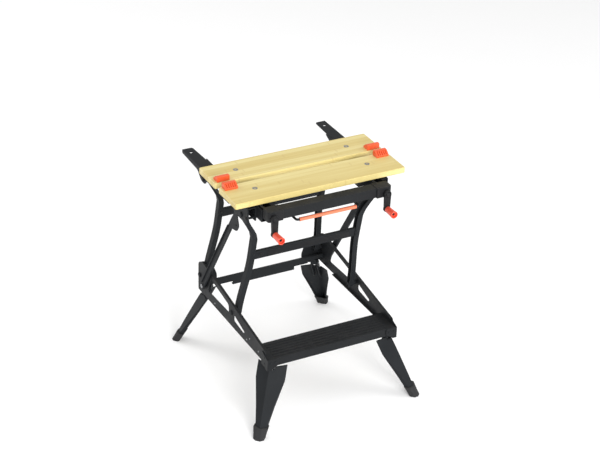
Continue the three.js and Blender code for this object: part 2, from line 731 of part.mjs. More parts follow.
// Side arm: an inverted channel with a deep nose set inwards, a slotted middle and a tapered rear
function sideArm() {
  const slotBottom = ARM_MID_BOTTOM + ARM_SLOT_HEIGHT / 2;
  const slotTop = slotBottom + ARM_SLOT_HEIGHT;
  const slotEnd = ARM_SLOT_HEIGHT / 2 - 0.5;
  const rearBossBottom = REAR_TOP_PIVOT_HEIGHT - ARM_BOSS;
  const webX = [ARM_OUTER_X - ARM_WALL, ARM_OUTER_X];
  const noseX = [ARM_NOSE_OUTER_X - ARM_WALL, ARM_NOSE_OUTER_X];
  const web = sidePlate(
    outline(
      [
        [ARM_NOSE_REAR - ARM_WALL, ARM_TOP],
        [ARM_NOSE_REAR - ARM_WALL, ARM_MID_BOTTOM],
        [REAR_TOP_PIVOT_Y - ARM_BOSS - 10, ARM_MID_BOTTOM, 4],
        [REAR_TOP_PIVOT_Y - ARM_BOSS, rearBossBottom, 9],
        [REAR_TOP_PIVOT_Y + ARM_BOSS, rearBossBottom, 9],
        [REAR_TOP_PIVOT_Y + 3 * ARM_BOSS, ARM_TOP - ARM_REAR_DEPTH - 6, 8],
        [ARM_REAR, ARM_TOP - ARM_REAR_DEPTH, 4],
        [ARM_REAR, ARM_TOP],
      ],
      [
        [ARM_SLOT_FRONT, slotBottom, slotEnd],
        [ARM_SLOT_REAR, slotBottom, slotEnd],
        [ARM_SLOT_REAR, slotTop, slotEnd],
        [ARM_SLOT_FRONT, slotTop, slotEnd],
      ],
    ),
    ...webX,
  );
  const nose = sidePlate(
    outline([
      [ARM_FRONT, ARM_TOP],
      [ARM_FRONT, ARM_NOSE_BOTTOM + 10, 6],
      [ARM_FRONT + 10, ARM_NOSE_BOTTOM, 6],
      [ARM_NOSE_REAR - 8, ARM_NOSE_BOTTOM, 6],
      [ARM_NOSE_REAR, ARM_MID_BOTTOM],
      [ARM_NOSE_REAR, ARM_TOP],
    ]),
    ...noseX,
  );
  const joggle = block(
    noseX[0],
    webX[1],
    ARM_NOSE_REAR - ARM_WALL,
    ARM_NOSE_REAR,
    ARM_MID_BOTTOM,
    ARM_TOP,
  );
  const innerX = [CHANNEL_OUTER_X, CHANNEL_OUTER_X + ARM_WALL];
  const frontBossBottom = FRONT_TOP_PIVOT_HEIGHT - ARM_INNER_BOSS;
  const rearBoss = outline([
    [REAR_TOP_PIVOT_Y - ARM_INNER_BOSS - 2, ARM_TOP],
    [REAR_TOP_PIVOT_Y - ARM_INNER_BOSS - 2, REAR_TOP_PIVOT_HEIGHT - ARM_INNER_BOSS, 6],
    [REAR_TOP_PIVOT_Y + ARM_INNER_BOSS, REAR_TOP_PIVOT_HEIGHT - ARM_INNER_BOSS, 6],
    [REAR_TOP_PIVOT_Y + ARM_INNER_BOSS, ARM_TOP],
  ]);
  const innerStrip = outline([
    [ARM_FRONT, ARM_TOP],
    [ARM_FRONT, frontBossBottom, 6],
    [FRONT_TOP_PIVOT_Y + ARM_INNER_BOSS, frontBossBottom, 6],
    [FRONT_TOP_PIVOT_Y + ARM_INNER_BOSS, ARM_INNER_BOTTOM, 4],
    [ARM_INNER_REAR - ARM_INNER_TAPER, ARM_INNER_BOTTOM],
    [ARM_INNER_REAR, ARM_TOP - ARM_WALL],
    [ARM_INNER_REAR, ARM_TOP],
  ]);
  const deck = flatPlate(
    outline([
      [CHANNEL_OUTER_X, ARM_FRONT],
      [ARM_NOSE_OUTER_X, ARM_FRONT],
      [ARM_NOSE_OUTER_X, ARM_NOSE_REAR - ARM_WALL],
      [ARM_OUTER_X, ARM_NOSE_REAR - ARM_WALL],
      [ARM_OUTER_X, ARM_REAR, 5],
      [ARM_REAR_INNER_X, ARM_REAR, 8],
      [CHANNEL_OUTER_X, ARM_TAPER_FROM],
    ]),
    ARM_TOP - ARM_WALL,
    ARM_TOP,
  );
  const stud = rodX(
    LOCK_STUD_RADIUS,
    LOCK_X - RUN_GAP,
    ARM_NOSE_OUTER_X - 1,
    LOCK_HOOK_Y,
    LOCK_HOOK_Z,
  );
  const shell = join(
    web,
    nose,
    joggle,
    deck,
    sidePlate(innerStrip, ...innerX),
    sidePlate(rearBoss, ...innerX),
    stud,
  );
  const through = [CHANNEL_OUTER_X - 5, ARM_OUTER_X + 5];
  const pinHole = PIVOT_RADIUS + SEAT_GAP;
  const endHole = rodZ(
    ARM_HOLE_RADIUS,
    ARM_TOP - 2 * ARM_WALL,
    ARM_TOP + 1,
    (ARM_REAR_INNER_X + ARM_OUTER_X) / 2,
    ARM_REAR - ARM_HOLE_REAR_INSET,
  );
  return cut(
    shell,
    rodX(pinHole, ...through, REAR_TOP_PIVOT_Y, REAR_TOP_PIVOT_HEIGHT),
    rodX(pinHole, ...through, FRONT_TOP_PIVOT_Y, FRONT_TOP_PIVOT_HEIGHT),
    rodX(BAIL_ROD_RADIUS + RUN_GAP, ...through, BAIL_SHAFT_Y, BAIL_HEIGHT),
    endHole,
  );
}
addPair('side_arm', sideArm(), blackPaint);

// A pivot pin along X: shank, shoulder between strut and carrier, head outside the carrier
function pivotPin(y, z, innerX, shoulder, carrierOuterX) {
  const [shoulderFrom, shoulderTo] = shoulder;
  return join(
    rodX(PIVOT_RADIUS, innerX, carrierOuterX + 1, y, z),
    rodX(PIVOT_SHOULDER_RADIUS, shoulderFrom, shoulderTo, y, z),
    rodX(
      PIVOT_HEAD_RADIUS,
      carrierOuterX + SEAT_GAP,
      carrierOuterX + SEAT_GAP + PIVOT_HEAD,
      y,
      z,
      TURNED_SIDES,
    ),
  );
}
for (const [name, y, z, armOuterX] of [
  ['rear_top_pin', REAR_TOP_PIVOT_Y, REAR_TOP_PIVOT_HEIGHT, ARM_OUTER_X],
  ['front_top_pin', FRONT_TOP_PIVOT_Y, FRONT_TOP_PIVOT_HEIGHT, ARM_NOSE_OUTER_X],
]) {
  const shoulder = [
    STRUT_TOP_X + STRUT_WIDTH / 2 + RUN_GAP,
    armOuterX - ARM_WALL - SEAT_GAP,
  ];
  addPair(name, pivotPin(y, z, CHANNEL_OUTER_X - 1, shoulder, armOuterX), blackPaint);
}

// Release bail: one bent rod, from the middle out along the grip, back, and out to the arms
function releaseBail() {
  const path = new THREE.CurvePath();
  const corners = [
    vector(-BAIL_SHAFT_END_X, BAIL_SHAFT_Y, BAIL_HEIGHT),
    vector(-BAIL_ARM_X, BAIL_SHAFT_Y, BAIL_HEIGHT),
    vector(-BAIL_ARM_X, BAIL_GRIP_Y, BAIL_HEIGHT),
    vector(BAIL_ARM_X, BAIL_GRIP_Y, BAIL_HEIGHT),
    vector(BAIL_ARM_X, BAIL_SHAFT_Y, BAIL_HEIGHT),
    vector(BAIL_SHAFT_END_X, BAIL_SHAFT_Y, BAIL_HEIGHT),
  ];
  const section = [];
  for (let i = 0; i < 8; i += 1) {
    const turn = ((i + 0.5) / 8) * 2 * Math.PI;
    section.push([Math.cos(turn) * BAIL_ROD_RADIUS, Math.sin(turn) * BAIL_ROD_RADIUS]);
  }
  let from = corners[0];
  for (let i = 1; i + 1 < corners.length; i += 1) {
    const here = corners[i];
    const into = corners[i - 1].clone().sub(here).setLength(BAIL_BEND).add(here);
    const out = corners[i + 1].clone().sub(here).setLength(BAIL_BEND).add(here);
    path.add(new THREE.LineCurve3(from, into));
    path.add(new THREE.QuadraticBezierCurve3(into, here, out));
    from = out;
  }
  path.add(new THREE.LineCurve3(from, corners.at(-1)));
  const stops = path.curves.flatMap((curve) => {
    const steps = curve.isLineCurve3 ? [0] : [0, 0.25, 0.5, 0.75];
    return steps.map((t) => [curve.getPoint(t), curve.getTangent(t)]);
  });
  const end = path.curves.at(-1);
  stops.push([end.getPoint(1), end.getTangent(1)]);
  return loft(
    stops.map(() => section),
    ([a, b], level) => {
      const [centre, tangent] = stops[level];
      const across = vector(-tangent.y, tangent.x, 0);
      return centre.clone().addScaledVector(across, a).add(vector(0, 0, b));
    },
  );
}
add('release_bail', join(releaseBail()), blackPaint());

function bailGrip() {
  const sleeve = rodX(
    BAIL_GRIP_RADIUS,
    -BAIL_GRIP_HALF,
    BAIL_GRIP_HALF,
    BAIL_GRIP_Y,
    BAIL_HEIGHT,
    TURNED_SIDES,
  );
  const bore = rodX(
    BAIL_ROD_RADIUS + SEAT_GAP,
    -BAIL_GRIP_HALF - 1,
    BAIL_GRIP_HALF + 1,
    BAIL_GRIP_Y,
    BAIL_HEIGHT,
  );
  return cut(sleeve, bore);
}
add('bail_grip', bailGrip(), salmonPlastic());

// Bowed strut: a channel open inwards whose centre line flares at the top and at the foot
function strutCentre(fromTop) {
  const reach = STRUT_TOP_FLARE_TO - STRUT_TOP_FLARE_FROM;
  const top = smoothstep((STRUT_TOP_FLARE_TO - fromTop) / reach);
  const foot = smoothstep(
    (fromTop - STRUT_FOOT_FLARE_FROM) / (STRUT_LENGTH - STRUT_FOOT_FLARE_FROM),
  );
  return (
    STRUT_WAIST_X +
    (STRUT_TOP_X - STRUT_WAIST_X) * top +
    (STRUT_FOOT_X - STRUT_WAIST_X) * foot
  );
}

function strut() {
  const half = STRUT_WIDTH / 2;
  const channel = (deep) => [
    [-half, -deep],
    [half, -deep],
    [half, deep],
    [-half, deep],
    [-half, deep - STRUT_WALL],
    [half - STRUT_WALL, deep - STRUT_WALL],
    [half - STRUT_WALL, STRUT_WALL - deep],
    [-half, STRUT_WALL - deep],
  ];
  const heights = [-STRUT_END, -STRUT_END * 0.6, 0];
  for (let i = 1; i < STRUT_STATIONS; i += 1) {
    const t = i / STRUT_STATIONS;
    heights.push(STRUT_LENGTH * (1 - (1 - t) ** 1.4));
  }
  heights.push(STRUT_LENGTH, STRUT_LENGTH + STRUT_END * 0.6, STRUT_LENGTH + STRUT_END);
  const sections = heights.map((height) => {
    const past = Math.max(-height, height - STRUT_LENGTH, 0) / STRUT_END;
    return channel((STRUT_DEPTH / 2) * (1 - 0.45 * past * past));
  });
  const body = loft(sections, ([x, y], level) =>
    vector(strutCentre(STRUT_LENGTH - heights[level]) + x, y, heights[level]),
  );
  const holeFrom = STRUT_WAIST_X - 2 * STRUT_WIDTH;
  const holeTo = STRUT_TOP_X + 2 * STRUT_WIDTH;
  const hole = (height) => rodX(PIVOT_RADIUS + SEAT_GAP, holeFrom, holeTo, 0, height);
  return cut(body, hole(0), hole(STRUT_LENGTH));
}

// Cross plate: a lipped plate slid between the flanges of both struts
function crossPlate(fromTop) {
  const front = SEAT_GAP + STRUT_WALL - STRUT_DEPTH / 2;
  const back = front + CROSS_PLATE_LIP;
  const top = STRUT_LENGTH - fromTop;
  const bottom = top - CROSS_PLATE_HEIGHT;
  const half = STRUT_WAIST_X + STRUT_WIDTH / 2 - STRUT_WALL - CROSS_PLATE_INSET;
  return sidePlate(
    outline([
      [front, bottom, 2],
      [back, bottom],
      [back, bottom + STRUT_WALL],
      [front + STRUT_WALL, bottom + STRUT_WALL],
      [front + STRUT_WALL, top - STRUT_WALL],
      [back, top - STRUT_WALL],
      [back, top],
      [front, top, 2],
    ]),
    -half,
    half,
  );
}

for (const [name, pivotY, pivotZ, plateFromTop] of [
  ['rear', REAR_PIVOT_Y, REAR_PIVOT_HEIGHT, REAR_PLATE_FROM_TOP],
  ['front', FRONT_PIVOT_Y, FRONT_PIVOT_HEIGHT, FRONT_PLATE_FROM_TOP],
]) {
  const frame = new THREE.Group();
  frame.position.set(0, pivotY, pivotZ);
  frame.rotation.x = STRUT_LEAN;
  bench.add(frame);
  addPair(`${name}_strut`, strut(), blackPaint, frame);
  add(`${name}_cross_plate`, join(crossPlate(plateFromTop)), blackPaint(), frame);
}
const footShoulder = [
  STRUT_FOOT_X + STRUT_WIDTH / 2 + RUN_GAP,
  BASE_INNER_X - SEAT_GAP,
];
for (const [name, y, z] of [
  ['rear_base_pin', REAR_PIVOT_Y, REAR_PIVOT_HEIGHT],
  ['front_base_pin', FRONT_PIVOT_Y, FRONT_PIVOT_HEIGHT],
]) {
  const innerX = STRUT_FOOT_X - STRUT_WIDTH / 2;
  addPair(name, pivotPin(y, z, innerX, footShoulder, BASE_OUTER_X), blackPaint);
}

// Lock strut in its own frame: foot at the origin, hook stud at LOCK_LENGTH up
function lockStrut() {
  const half = LOCK_WIDTH / 2;
  const neck = LOCK_NECK / 2;
  const tip = LOCK_LENGTH + LOCK_TIP;
  const slot = LOCK_STUD_RADIUS + RUN_GAP;
  const web = sidePlate(
    outline(
      [
        [-half, -half, half - 1],
        [half, -half, half - 1],
        [half, LOCK_EAR_BOTTOM + 30, 20],
        [neck, LOCK_LENGTH - LOCK_NECK, 20],
        [neck + 1, tip, 2],
        [LOCK_MOUTH / 2 - 1, tip],
        [slot, LOCK_LENGTH + 3],
        [slot, LOCK_LENGTH - slot, slot - 0.5],
        [-slot, LOCK_LENGTH - slot, slot - 0.5],
        [-slot, LOCK_LENGTH + 3],
        [1 - LOCK_MOUTH / 2, tip],
        [-neck - 1, tip, 2],
        [-neck, LOCK_EAR_TOP, 6],
        [-LOCK_EAR_REACH, LOCK_EAR_HOLE_UP + 12, 8],
        [-LOCK_EAR_REACH, LOCK_EAR_HOLE_UP - 16, 8],
        [-half, LOCK_EAR_BOTTOM, 6],
      ],
    ),
    LOCK_X,
    LOCK_X + LOCK_WALL,
  );
  const flangeTop = LOCK_EAR_BOTTOM - 14;
  const flange = (y) =>
    block(LOCK_X, LOCK_X + LOCK_DEPTH, y, y + LOCK_WALL, half, flangeTop);
  const footHole = rodX(LOCK_STUD_RADIUS + RUN_GAP, LOCK_X - 5, LOCK_X + 20, 0, 0);
  const earHole = rodX(
    LOCK_EAR_HOLE_RADIUS,
    LOCK_X - 5,
    LOCK_X + 20,
    -LOCK_EAR_HOLE_FORWARD,
    LOCK_EAR_HOLE_UP,
  );
  return cut(join(web, flange(-half), flange(half - LOCK_WALL)), footHole, earHole);
}
const lockFrame = new THREE.Group();
lockFrame.position.set(0, LOCK_FOOT_Y, LOCK_FOOT_Z);
lockFrame.rotation.x = LOCK_LEAN;
bench.add(lockFrame);
addPair('lock_strut', lockStrut(), blackPaint, lockFrame);

// Base arm: a pressed channel, tall at the rear, with a three-sided cut-out and a slot
function baseArm() {
  const crest = baseArmTop(BASE_ARM_CREST_Y);
  const web = sidePlate(
    outline(
      [
        [BASE_ARM_FRONT, BASE_ARM_BOTTOM, 4],
        [BASE_ARM_REAR, BASE_ARM_BOTTOM, 6],
        [BASE_ARM_REAR, crest - BASE_ARM_CREST_DROP, 16],
        [BASE_ARM_CREST_Y, crest, 10],
        [BASE_ARM_FRONT, baseArmTop(BASE_ARM_FRONT), 10],
      ],
      [
        [186, 262, 9],
        [20, 268, 10],
        [22, 299, 10],
        [165, 322, 9],
      ],
      [
        [-18, 257, 8],
        [-90, 250, 5],
        [-101, 261, 5],
        [-19, 283, 8],
      ],
    ),
    BASE_INNER_X,
    BASE_OUTER_X,
  );
  const topFlange = sidePlate(
    outline([
      [BASE_ARM_FRONT + 8, baseArmTop(BASE_ARM_FRONT + 8) - BASE_WALL],
      [BASE_ARM_CREST_Y - 8, baseArmTop(BASE_ARM_CREST_Y - 8) - BASE_WALL],
      [BASE_ARM_CREST_Y - 8, baseArmTop(BASE_ARM_CREST_Y - 8)],
      [BASE_ARM_FRONT + 8, baseArmTop(BASE_ARM_FRONT + 8)],
    ]),
    BASE_INNER_X - BASE_TOP_FLANGE,
    BASE_INNER_X + 1,
  );
  const bottomFlange = block(
    BASE_INNER_X - BASE_BOTTOM_FLANGE,
    BASE_INNER_X + 1,
    -BASE_BOTTOM_FLANGE_HALF,
    BASE_BOTTOM_FLANGE_HALF,
    BASE_ARM_BOTTOM,
    BASE_ARM_BOTTOM + BASE_WALL,
  );
  const stud = rodX(
    LOCK_STUD_RADIUS,
    BASE_INNER_X + 1,
    LOCK_X + LOCK_WALL + 2,
    LOCK_FOOT_Y,
    LOCK_FOOT_Z,
  );
  const studHead = rodX(
    LOCK_STUD_RADIUS + 3,
    LOCK_X + LOCK_WALL + RUN_GAP,
    LOCK_X + LOCK_WALL + 3,
    LOCK_FOOT_Y,
    LOCK_FOOT_Z,
  );
  const studCollar = rodX(
    LOCK_STUD_RADIUS + 3,
    BASE_INNER_X + 1,
    LOCK_X - RUN_GAP,
    LOCK_FOOT_Y,
    LOCK_FOOT_Z,
  );
  const pivotHole = (y, z) =>
    rodX(PIVOT_RADIUS + SEAT_GAP, BASE_INNER_X - 5, BASE_OUTER_X + 5, y, z);
  return cut(
    join(web, topFlange, bottomFlange, stud, studHead, studCollar),
    pivotHole(REAR_PIVOT_Y, REAR_PIVOT_HEIGHT),
    pivotHole(FRONT_PIVOT_Y, FRONT_PIVOT_HEIGHT),
  );
}
addPair('base_arm', baseArm(), greyPaint);

// Step tread: a lipped tray turned down, with staggered grip ribs
function stepTread() {
  const half = BASE_INNER_X - SEAT_GAP;
  const back = STEP_FRONT + STEP_DEPTH;
  const deck = block(-half, half, STEP_FRONT, back, STEP_TOP - STEP_WALL, STEP_TOP);
  const lip = block(
    -STEP_LIP_HALF,
    STEP_LIP_HALF,
    STEP_FRONT,
    STEP_FRONT + STEP_WALL,
    STEP_TOP - STEP_LIP,
    STEP_TOP,
  );
  const backLip = block(-half, half, back - STEP_WALL, back, STEP_TOP - STEP_BACK_LIP, STEP_TOP);
  const ribs = [];
  const pitch = STEP_DEPTH / (STEP_RIB_ROWS + 1);
  for (let row = 1; row <= STEP_RIB_ROWS; row += 1) {
    const y = STEP_FRONT + row * pitch;
    const reach = half - STEP_RIB_MARGIN;
    const split = (row % 2 === 0 ? 1 : -1) * reach * 0.3;
    for (const [x0, x1] of [
      [-reach, split - STEP_RIB_GAP / 2],
      [split + STEP_RIB_GAP / 2, reach],
    ]) {
      ribs.push(
        block(
          x0,
          x1,
          y - STEP_RIB_WIDTH / 2,
          y + STEP_RIB_WIDTH / 2,
          STEP_TOP - 1,
          STEP_TOP + STEP_RIB_HEIGHT,
        ),
      );
    }
  }
  return join(deck, lip, backLip, ...ribs);
}
add('step_tread', stepTread(), greyPaint());

// Rear cross member: a channel open to the rear, notched for the folded legs and their hinges
function rearCrossMember() {
  const half = BASE_INNER_X - SEAT_GAP;
  const back = REAR_BAR_FRONT + REAR_BAR_DEPTH;
  const bar = block(-half, half, REAR_BAR_FRONT, back, REAR_BAR_BOTTOM, REAR_BAR_TOP);
  const hollow = block(
    -half - 1,
    half + 1,
    REAR_BAR_FRONT + REAR_BAR_WALL,
    back + 1,
    REAR_BAR_BOTTOM + REAR_BAR_WALL,
    REAR_BAR_TOP - REAR_BAR_WALL,
  );
  const notch = (x, top) =>
    block(x, half + 1, REAR_BAR_FRONT - 1, back + 1, REAR_BAR_BOTTOM - 1, top);
  const legNotch = notch(REAR_BAR_LEG_NOTCH_X, REAR_BAR_BOTTOM + REAR_BAR_LEG_NOTCH);
  const lugNotch = notch(REAR_BAR_LUG_NOTCH_X, TONGUE_BOTTOM + TONGUE_THICKNESS + 1);
  return cut(bar, hollow, legNotch, mirrored(legNotch), lugNotch, mirrored(lugNotch));
}
add('rear_cross_member', rearCrossMember(), blackPaint());

// Hinge lug: a tongue from the corner and a knuckle round the leg pin, outward along +Y
function hingeLug(reach) {
  const tongue = block(
    -LEG_LUG_HALF,
    LEG_LUG_HALF,
    -LEG_LUG_RADIUS,
    reach,
    TONGUE_BOTTOM,
    TONGUE_BOTTOM + TONGUE_THICKNESS,
  );
  const knuckle = sidePlate(
    outline([
      [-LEG_LUG_RADIUS, TONGUE_BOTTOM + 1],
      [-LEG_LUG_RADIUS, LEG_PIN_HEIGHT - LEG_LUG_RADIUS, LEG_LUG_RADIUS - 1],
      [LEG_LUG_RADIUS, LEG_PIN_HEIGHT - LEG_LUG_RADIUS, LEG_LUG_RADIUS - 1],
      [LEG_LUG_RADIUS, TONGUE_BOTTOM + 1],
    ]),
    -LEG_LUG_HALF,
    LEG_LUG_HALF,
  );
  const bore = rodX(
    LEG_PIN_RADIUS + SEAT_GAP,
    -LEG_PIN_HALF,
    LEG_PIN_HALF,
    0,
    LEG_PIN_HEIGHT,
  );
  return cut(join(tongue, knuckle), bore);
}

// The turn about Z that points +Y out of the corner on side sx (X) and sy (Y)
const cornerTurn = (sx, sy) => Math.atan2(-sx, sy);
const seatedLug = (sy, reach) =>
  hingeLug(reach).rotateZ(cornerTurn(1, sy)).translate(LEG_PIN_X, sy * LEG_PIN_Y, 0);

// Front bracket: an angle round the corner, joining arm, step and leg hinge
function frontBracket() {
  const outerX = BASE_OUTER_X + BRACKET_WALL;
  const frontY = STEP_FRONT - BRACKET_WALL;
  const side = sidePlate(
    outline([
      [frontY, BRACKET_TAB_BOTTOM],
      [frontY + BRACKET_TAB, BRACKET_TAB_BOTTOM, 2],
      [frontY + BRACKET_TAB + 3, BRACKET_BOTTOM, 2],
      [frontY + FRONT_BRACKET_WRAP, BRACKET_BOTTOM, 6],
      [frontY + FRONT_BRACKET_WRAP, FRONT_BRACKET_TOP, 8],
      [frontY, STEP_TOP, 4],
    ]),
    BASE_OUTER_X,
    outerX,
  );
  const face = frontPlate(
    outline([
      [outerX, BRACKET_TAB_BOTTOM],
      [outerX, STEP_TOP],
      [outerX - FRONT_BRACKET_FACE, STEP_TOP, 6],
      [outerX - FRONT_BRACKET_FACE, STEP_TOP - STEP_LIP + 4, 6],
      [outerX - BRACKET_TAB - 3, BRACKET_BOTTOM, 2],
      [outerX - BRACKET_TAB, BRACKET_TAB_BOTTOM, 2],
    ].reverse()),
    frontY,
    STEP_FRONT,
  );
  const reach = (BASE_OUTER_X - LEG_PIN_X + 1) * Math.SQRT2;
  const spare = 2 * reach;
  const levels = [TONGUE_BOTTOM - 1, TONGUE_BOTTOM + TONGUE_THICKNESS + 1];
  const sinkX = BASE_OUTER_X + 1;
  const sinkY = STEP_FRONT - 1;
  const lug = cut(
    seatedLug(-1, reach),
    block(sinkX, sinkX + spare, sinkY - spare, sinkY + spare, ...levels),
    block(sinkX - spare, sinkX + spare, sinkY - spare, sinkY, ...levels),
  );
  return join(side, face, lug);
}
addPair('front_bracket', frontBracket(), greyPaint);

// Rear bracket: a gusset plate across the corner with a return along the arm and the leg hinge
function rearBracket() {
  const outerX = BASE_INNER_X - SEAT_GAP;
  const plateY = REAR_PLATE_Y;
  const rearY = plateY + BRACKET_WALL;
  const face = frontPlate(
    outline([
      [outerX, REAR_BRACKET_BOTTOM],
      [outerX, REAR_GUSSET_TOP, 6],
      [outerX - REAR_GUSSET_FLAT, REAR_GUSSET_TOP, 10],
      [REAR_GUSSET_SHOULDER_X, REAR_GUSSET_SHOULDER, 10],
      [REAR_GUSSET_INNER_X, REAR_GUSSET_WAIST, 8],
      [REAR_GUSSET_INNER_X, TONGUE_BOTTOM + TONGUE_THICKNESS, 4],
      [outerX - REAR_GUSSET_TOE, REAR_BRACKET_BOTTOM, 8],
    ].reverse()),
    plateY,
    rearY,
  );
  const side = block(
    outerX - BRACKET_WALL,
    outerX,
    rearY - REAR_BRACKET_RETURN,
    rearY,
    REAR_BRACKET_BOTTOM + 6,
    REAR_GUSSET_TOP - 6,
  );
  const reach = (outerX - LEG_PIN_X) * Math.SQRT2;
  const spare = 2 * reach;
  const levels = [TONGUE_BOTTOM - 1, TONGUE_BOTTOM + TONGUE_THICKNESS + 1];
  const sinkY = rearY - 1;
  const lug = cut(
    seatedLug(1, reach),
    block(outerX, outerX + spare, sinkY - spare, sinkY + spare, ...levels),
    block(outerX - spare, outerX + spare, sinkY, sinkY + spare, ...levels),
  );
  return join(side, face, lug);
}
addPair('rear_bracket', rearBracket(), blackPaint);

// Leg section across the channel at a drop below the pin: ridge outward, flanges turned in
function legSection(drop) {
  const next = Math.max(1, LEG_SECTIONS.findIndex(([level]) => level >= drop));
  const [upper, lower] = [LEG_SECTIONS[next - 1], LEG_SECTIONS[next]];
  const t = (drop - upper[0]) / (lower[0] - upper[0]);
  const [, half, vee, flange, proud] = upper.map((value, i) => value + (lower[i] - value) * t);
  const ridge = LEG_SLOPE * drop + proud;
  return { half, shoulder: ridge - vee, edge: ridge - vee - flange, ridge };
}

function legShell() {
  const end = LEG_PIN_HEIGHT - LEG_END_HEIGHT;
  const levels = LEG_SECTIONS.map(([drop]) => Math.min(drop, end));
  const drops = levels
    .flatMap((drop, i) => (i === 0 ? [drop] : [(levels[i - 1] + drop) / 2, drop]))
    .reverse();
  const sections = drops.map((drop) => {
    const { half, shoulder, edge, ridge } = legSection(drop);
    const inner = half - LEG_WALL;
    return [
      [-half, edge],
      [-inner, edge],
      [-inner + 2, shoulder - LEG_WALL],
      [0, ridge - 1.2 * LEG_WALL],
      [inner - 2, shoulder - LEG_WALL],
      [inner, edge],
      [half, edge],
      [half - 2, shoulder],
      [0, ridge],
      [2 - half, shoulder],
    ];
  });
  return loft(sections, ([u, v], level) => vector(u, v, -drops[level]));
}

function leg() {
  const top = LEG_SECTIONS[0][0];
  const earFrom = LEG_LUG_HALF + RUN_GAP;
  // Where the ear's outer corner sinks into the sloping wall at a drop below the pin
  const inWall = (drop) => {
    const { half, shoulder, ridge } = legSection(drop);
    return ridge - ((ridge - shoulder) / (half - 2)) * (earFrom + LEG_EAR) - 0.4;
  };
  const earShape = outline([
    [-LEG_LUG_RADIUS, 0],
    [-LEG_LUG_RADIUS + 1, -14, 6],
    [inWall(LEG_EAR_DROP) - 14, -LEG_EAR_DROP],
    [inWall(LEG_EAR_DROP), -LEG_EAR_DROP],
    [inWall(top), -top],
    [LEG_LUG_RADIUS, 0],
  ]);
  const ears = [-earFrom - LEG_EAR, earFrom].flatMap((x) => [
    sidePlate(earShape, x, x + LEG_EAR),
    rodX(LEG_LUG_RADIUS, x, x + LEG_EAR, 0, 0, TURNED_SIDES),
  ]);
  const notch = block(
    -LEG_NOTCH_HALF,
    LEG_NOTCH_HALF,
    0,
    2 * LEG_NOTCH_DROP,
    -LEG_NOTCH_DROP,
    0,
  );
  const bore = rodX(LEG_PIN_RADIUS + SEAT_GAP, -LEG_PIN_HALF - 5, LEG_PIN_HALF + 5, 0, 0);
  return cut(join(cut(legShell(), notch), ...ears), bore);
}

// Rubber foot: a boot round the leg's end, flat on the floor
function footCap() {
  const floor = LEG_PIN_HEIGHT;
  const ring = (height, grow) => {
    const { half, edge, ridge } = legSection(floor - height);
    const u = half + grow;
    return [
      [-u, edge - grow + 4],
      [4 - u, edge - grow],
      [u - 4, edge - grow],
      [u, edge - grow + 4],
      [u, ridge + grow - 9],
      [8, ridge + grow],
      [-8, ridge + grow],
      [-u, ridge + grow - 9],
    ];
  };
  const levels = [0, FOOT_HEIGHT * 0.45, FOOT_HEIGHT];
  const grows = [FOOT_WALL + FOOT_SPREAD, FOOT_WALL, FOOT_WALL];
  const boot = loft(
    levels.map((height, i) => ring(height, grows[i])),
    ([u, v], level) => vector(u, v, levels[level] - floor),
  );
  const pocketLevels = [LEG_END_HEIGHT - SEAT_GAP, FOOT_HEIGHT + 1];
  const pocketRing = (height) => {
    const { half, shoulder, edge, ridge } = legSection(floor - height);
    const gap = 2 * SEAT_GAP;
    return [
      [-half - gap, edge - gap],
      [half + gap, edge - gap],
      [half + gap - 1, shoulder + gap],
      [0, ridge + gap],
      [1 - half - gap, shoulder + gap],
    ];
  };
  const pocket = loft(pocketLevels.map(pocketRing), ([u, v], level) =>
    vector(u, v, pocketLevels[level] - floor),
  );
  return cut(boot, pocket);
}

const legPin = rodX(LEG_PIN_RADIUS, -LEG_PIN_HALF, LEG_PIN_HALF, 0, 0);
for (const [row, sy] of [['front', -1], ['rear', 1]]) {
  for (const [side, sx] of [['left', -1], ['right', 1]]) {
    const corner = new THREE.Group();
    corner.position.set(sx * LEG_PIN_X, sy * LEG_PIN_Y, LEG_PIN_HEIGHT);
    corner.rotation.z = cornerTurn(sx, sy);
    bench.add(corner);
    add(`${row}_leg_${side}`, leg(), blackPaint(), corner);
    add(`${row}_foot_${side}`, footCap(), rubber(), corner);
    add(`${row}_leg_pin_${side}`, join(legPin), steel(), corner);
  }
}

export default bench;
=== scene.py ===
# %% [markdown]
# # A folding workbench, dressed in Blender
# The imported model holds every solid of the bench at its real size. This lesson
# adds what solids alone don't show: paint, plating, bamboo, moulded plastic,
# screw threads, rivets and welds. The frame is loaded first.

# %% Load the bench
import json
import math

import bmesh
import bpy
from mathutils import Matrix, Vector


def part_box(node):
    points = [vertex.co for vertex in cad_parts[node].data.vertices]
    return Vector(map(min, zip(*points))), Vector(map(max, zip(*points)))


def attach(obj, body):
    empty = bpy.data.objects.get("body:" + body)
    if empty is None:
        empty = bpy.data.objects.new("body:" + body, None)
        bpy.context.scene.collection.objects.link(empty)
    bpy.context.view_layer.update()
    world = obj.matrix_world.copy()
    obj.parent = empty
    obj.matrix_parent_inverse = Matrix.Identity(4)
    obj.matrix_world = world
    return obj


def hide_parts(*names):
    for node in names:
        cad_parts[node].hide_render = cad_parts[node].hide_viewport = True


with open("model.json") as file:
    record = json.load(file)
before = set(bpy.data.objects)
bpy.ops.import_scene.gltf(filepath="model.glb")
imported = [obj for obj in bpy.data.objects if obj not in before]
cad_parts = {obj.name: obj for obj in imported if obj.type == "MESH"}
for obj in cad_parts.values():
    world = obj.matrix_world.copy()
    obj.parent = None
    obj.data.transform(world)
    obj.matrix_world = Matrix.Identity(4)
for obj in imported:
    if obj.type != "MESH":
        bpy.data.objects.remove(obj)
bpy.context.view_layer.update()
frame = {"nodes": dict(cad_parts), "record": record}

nodes = frame["nodes"]

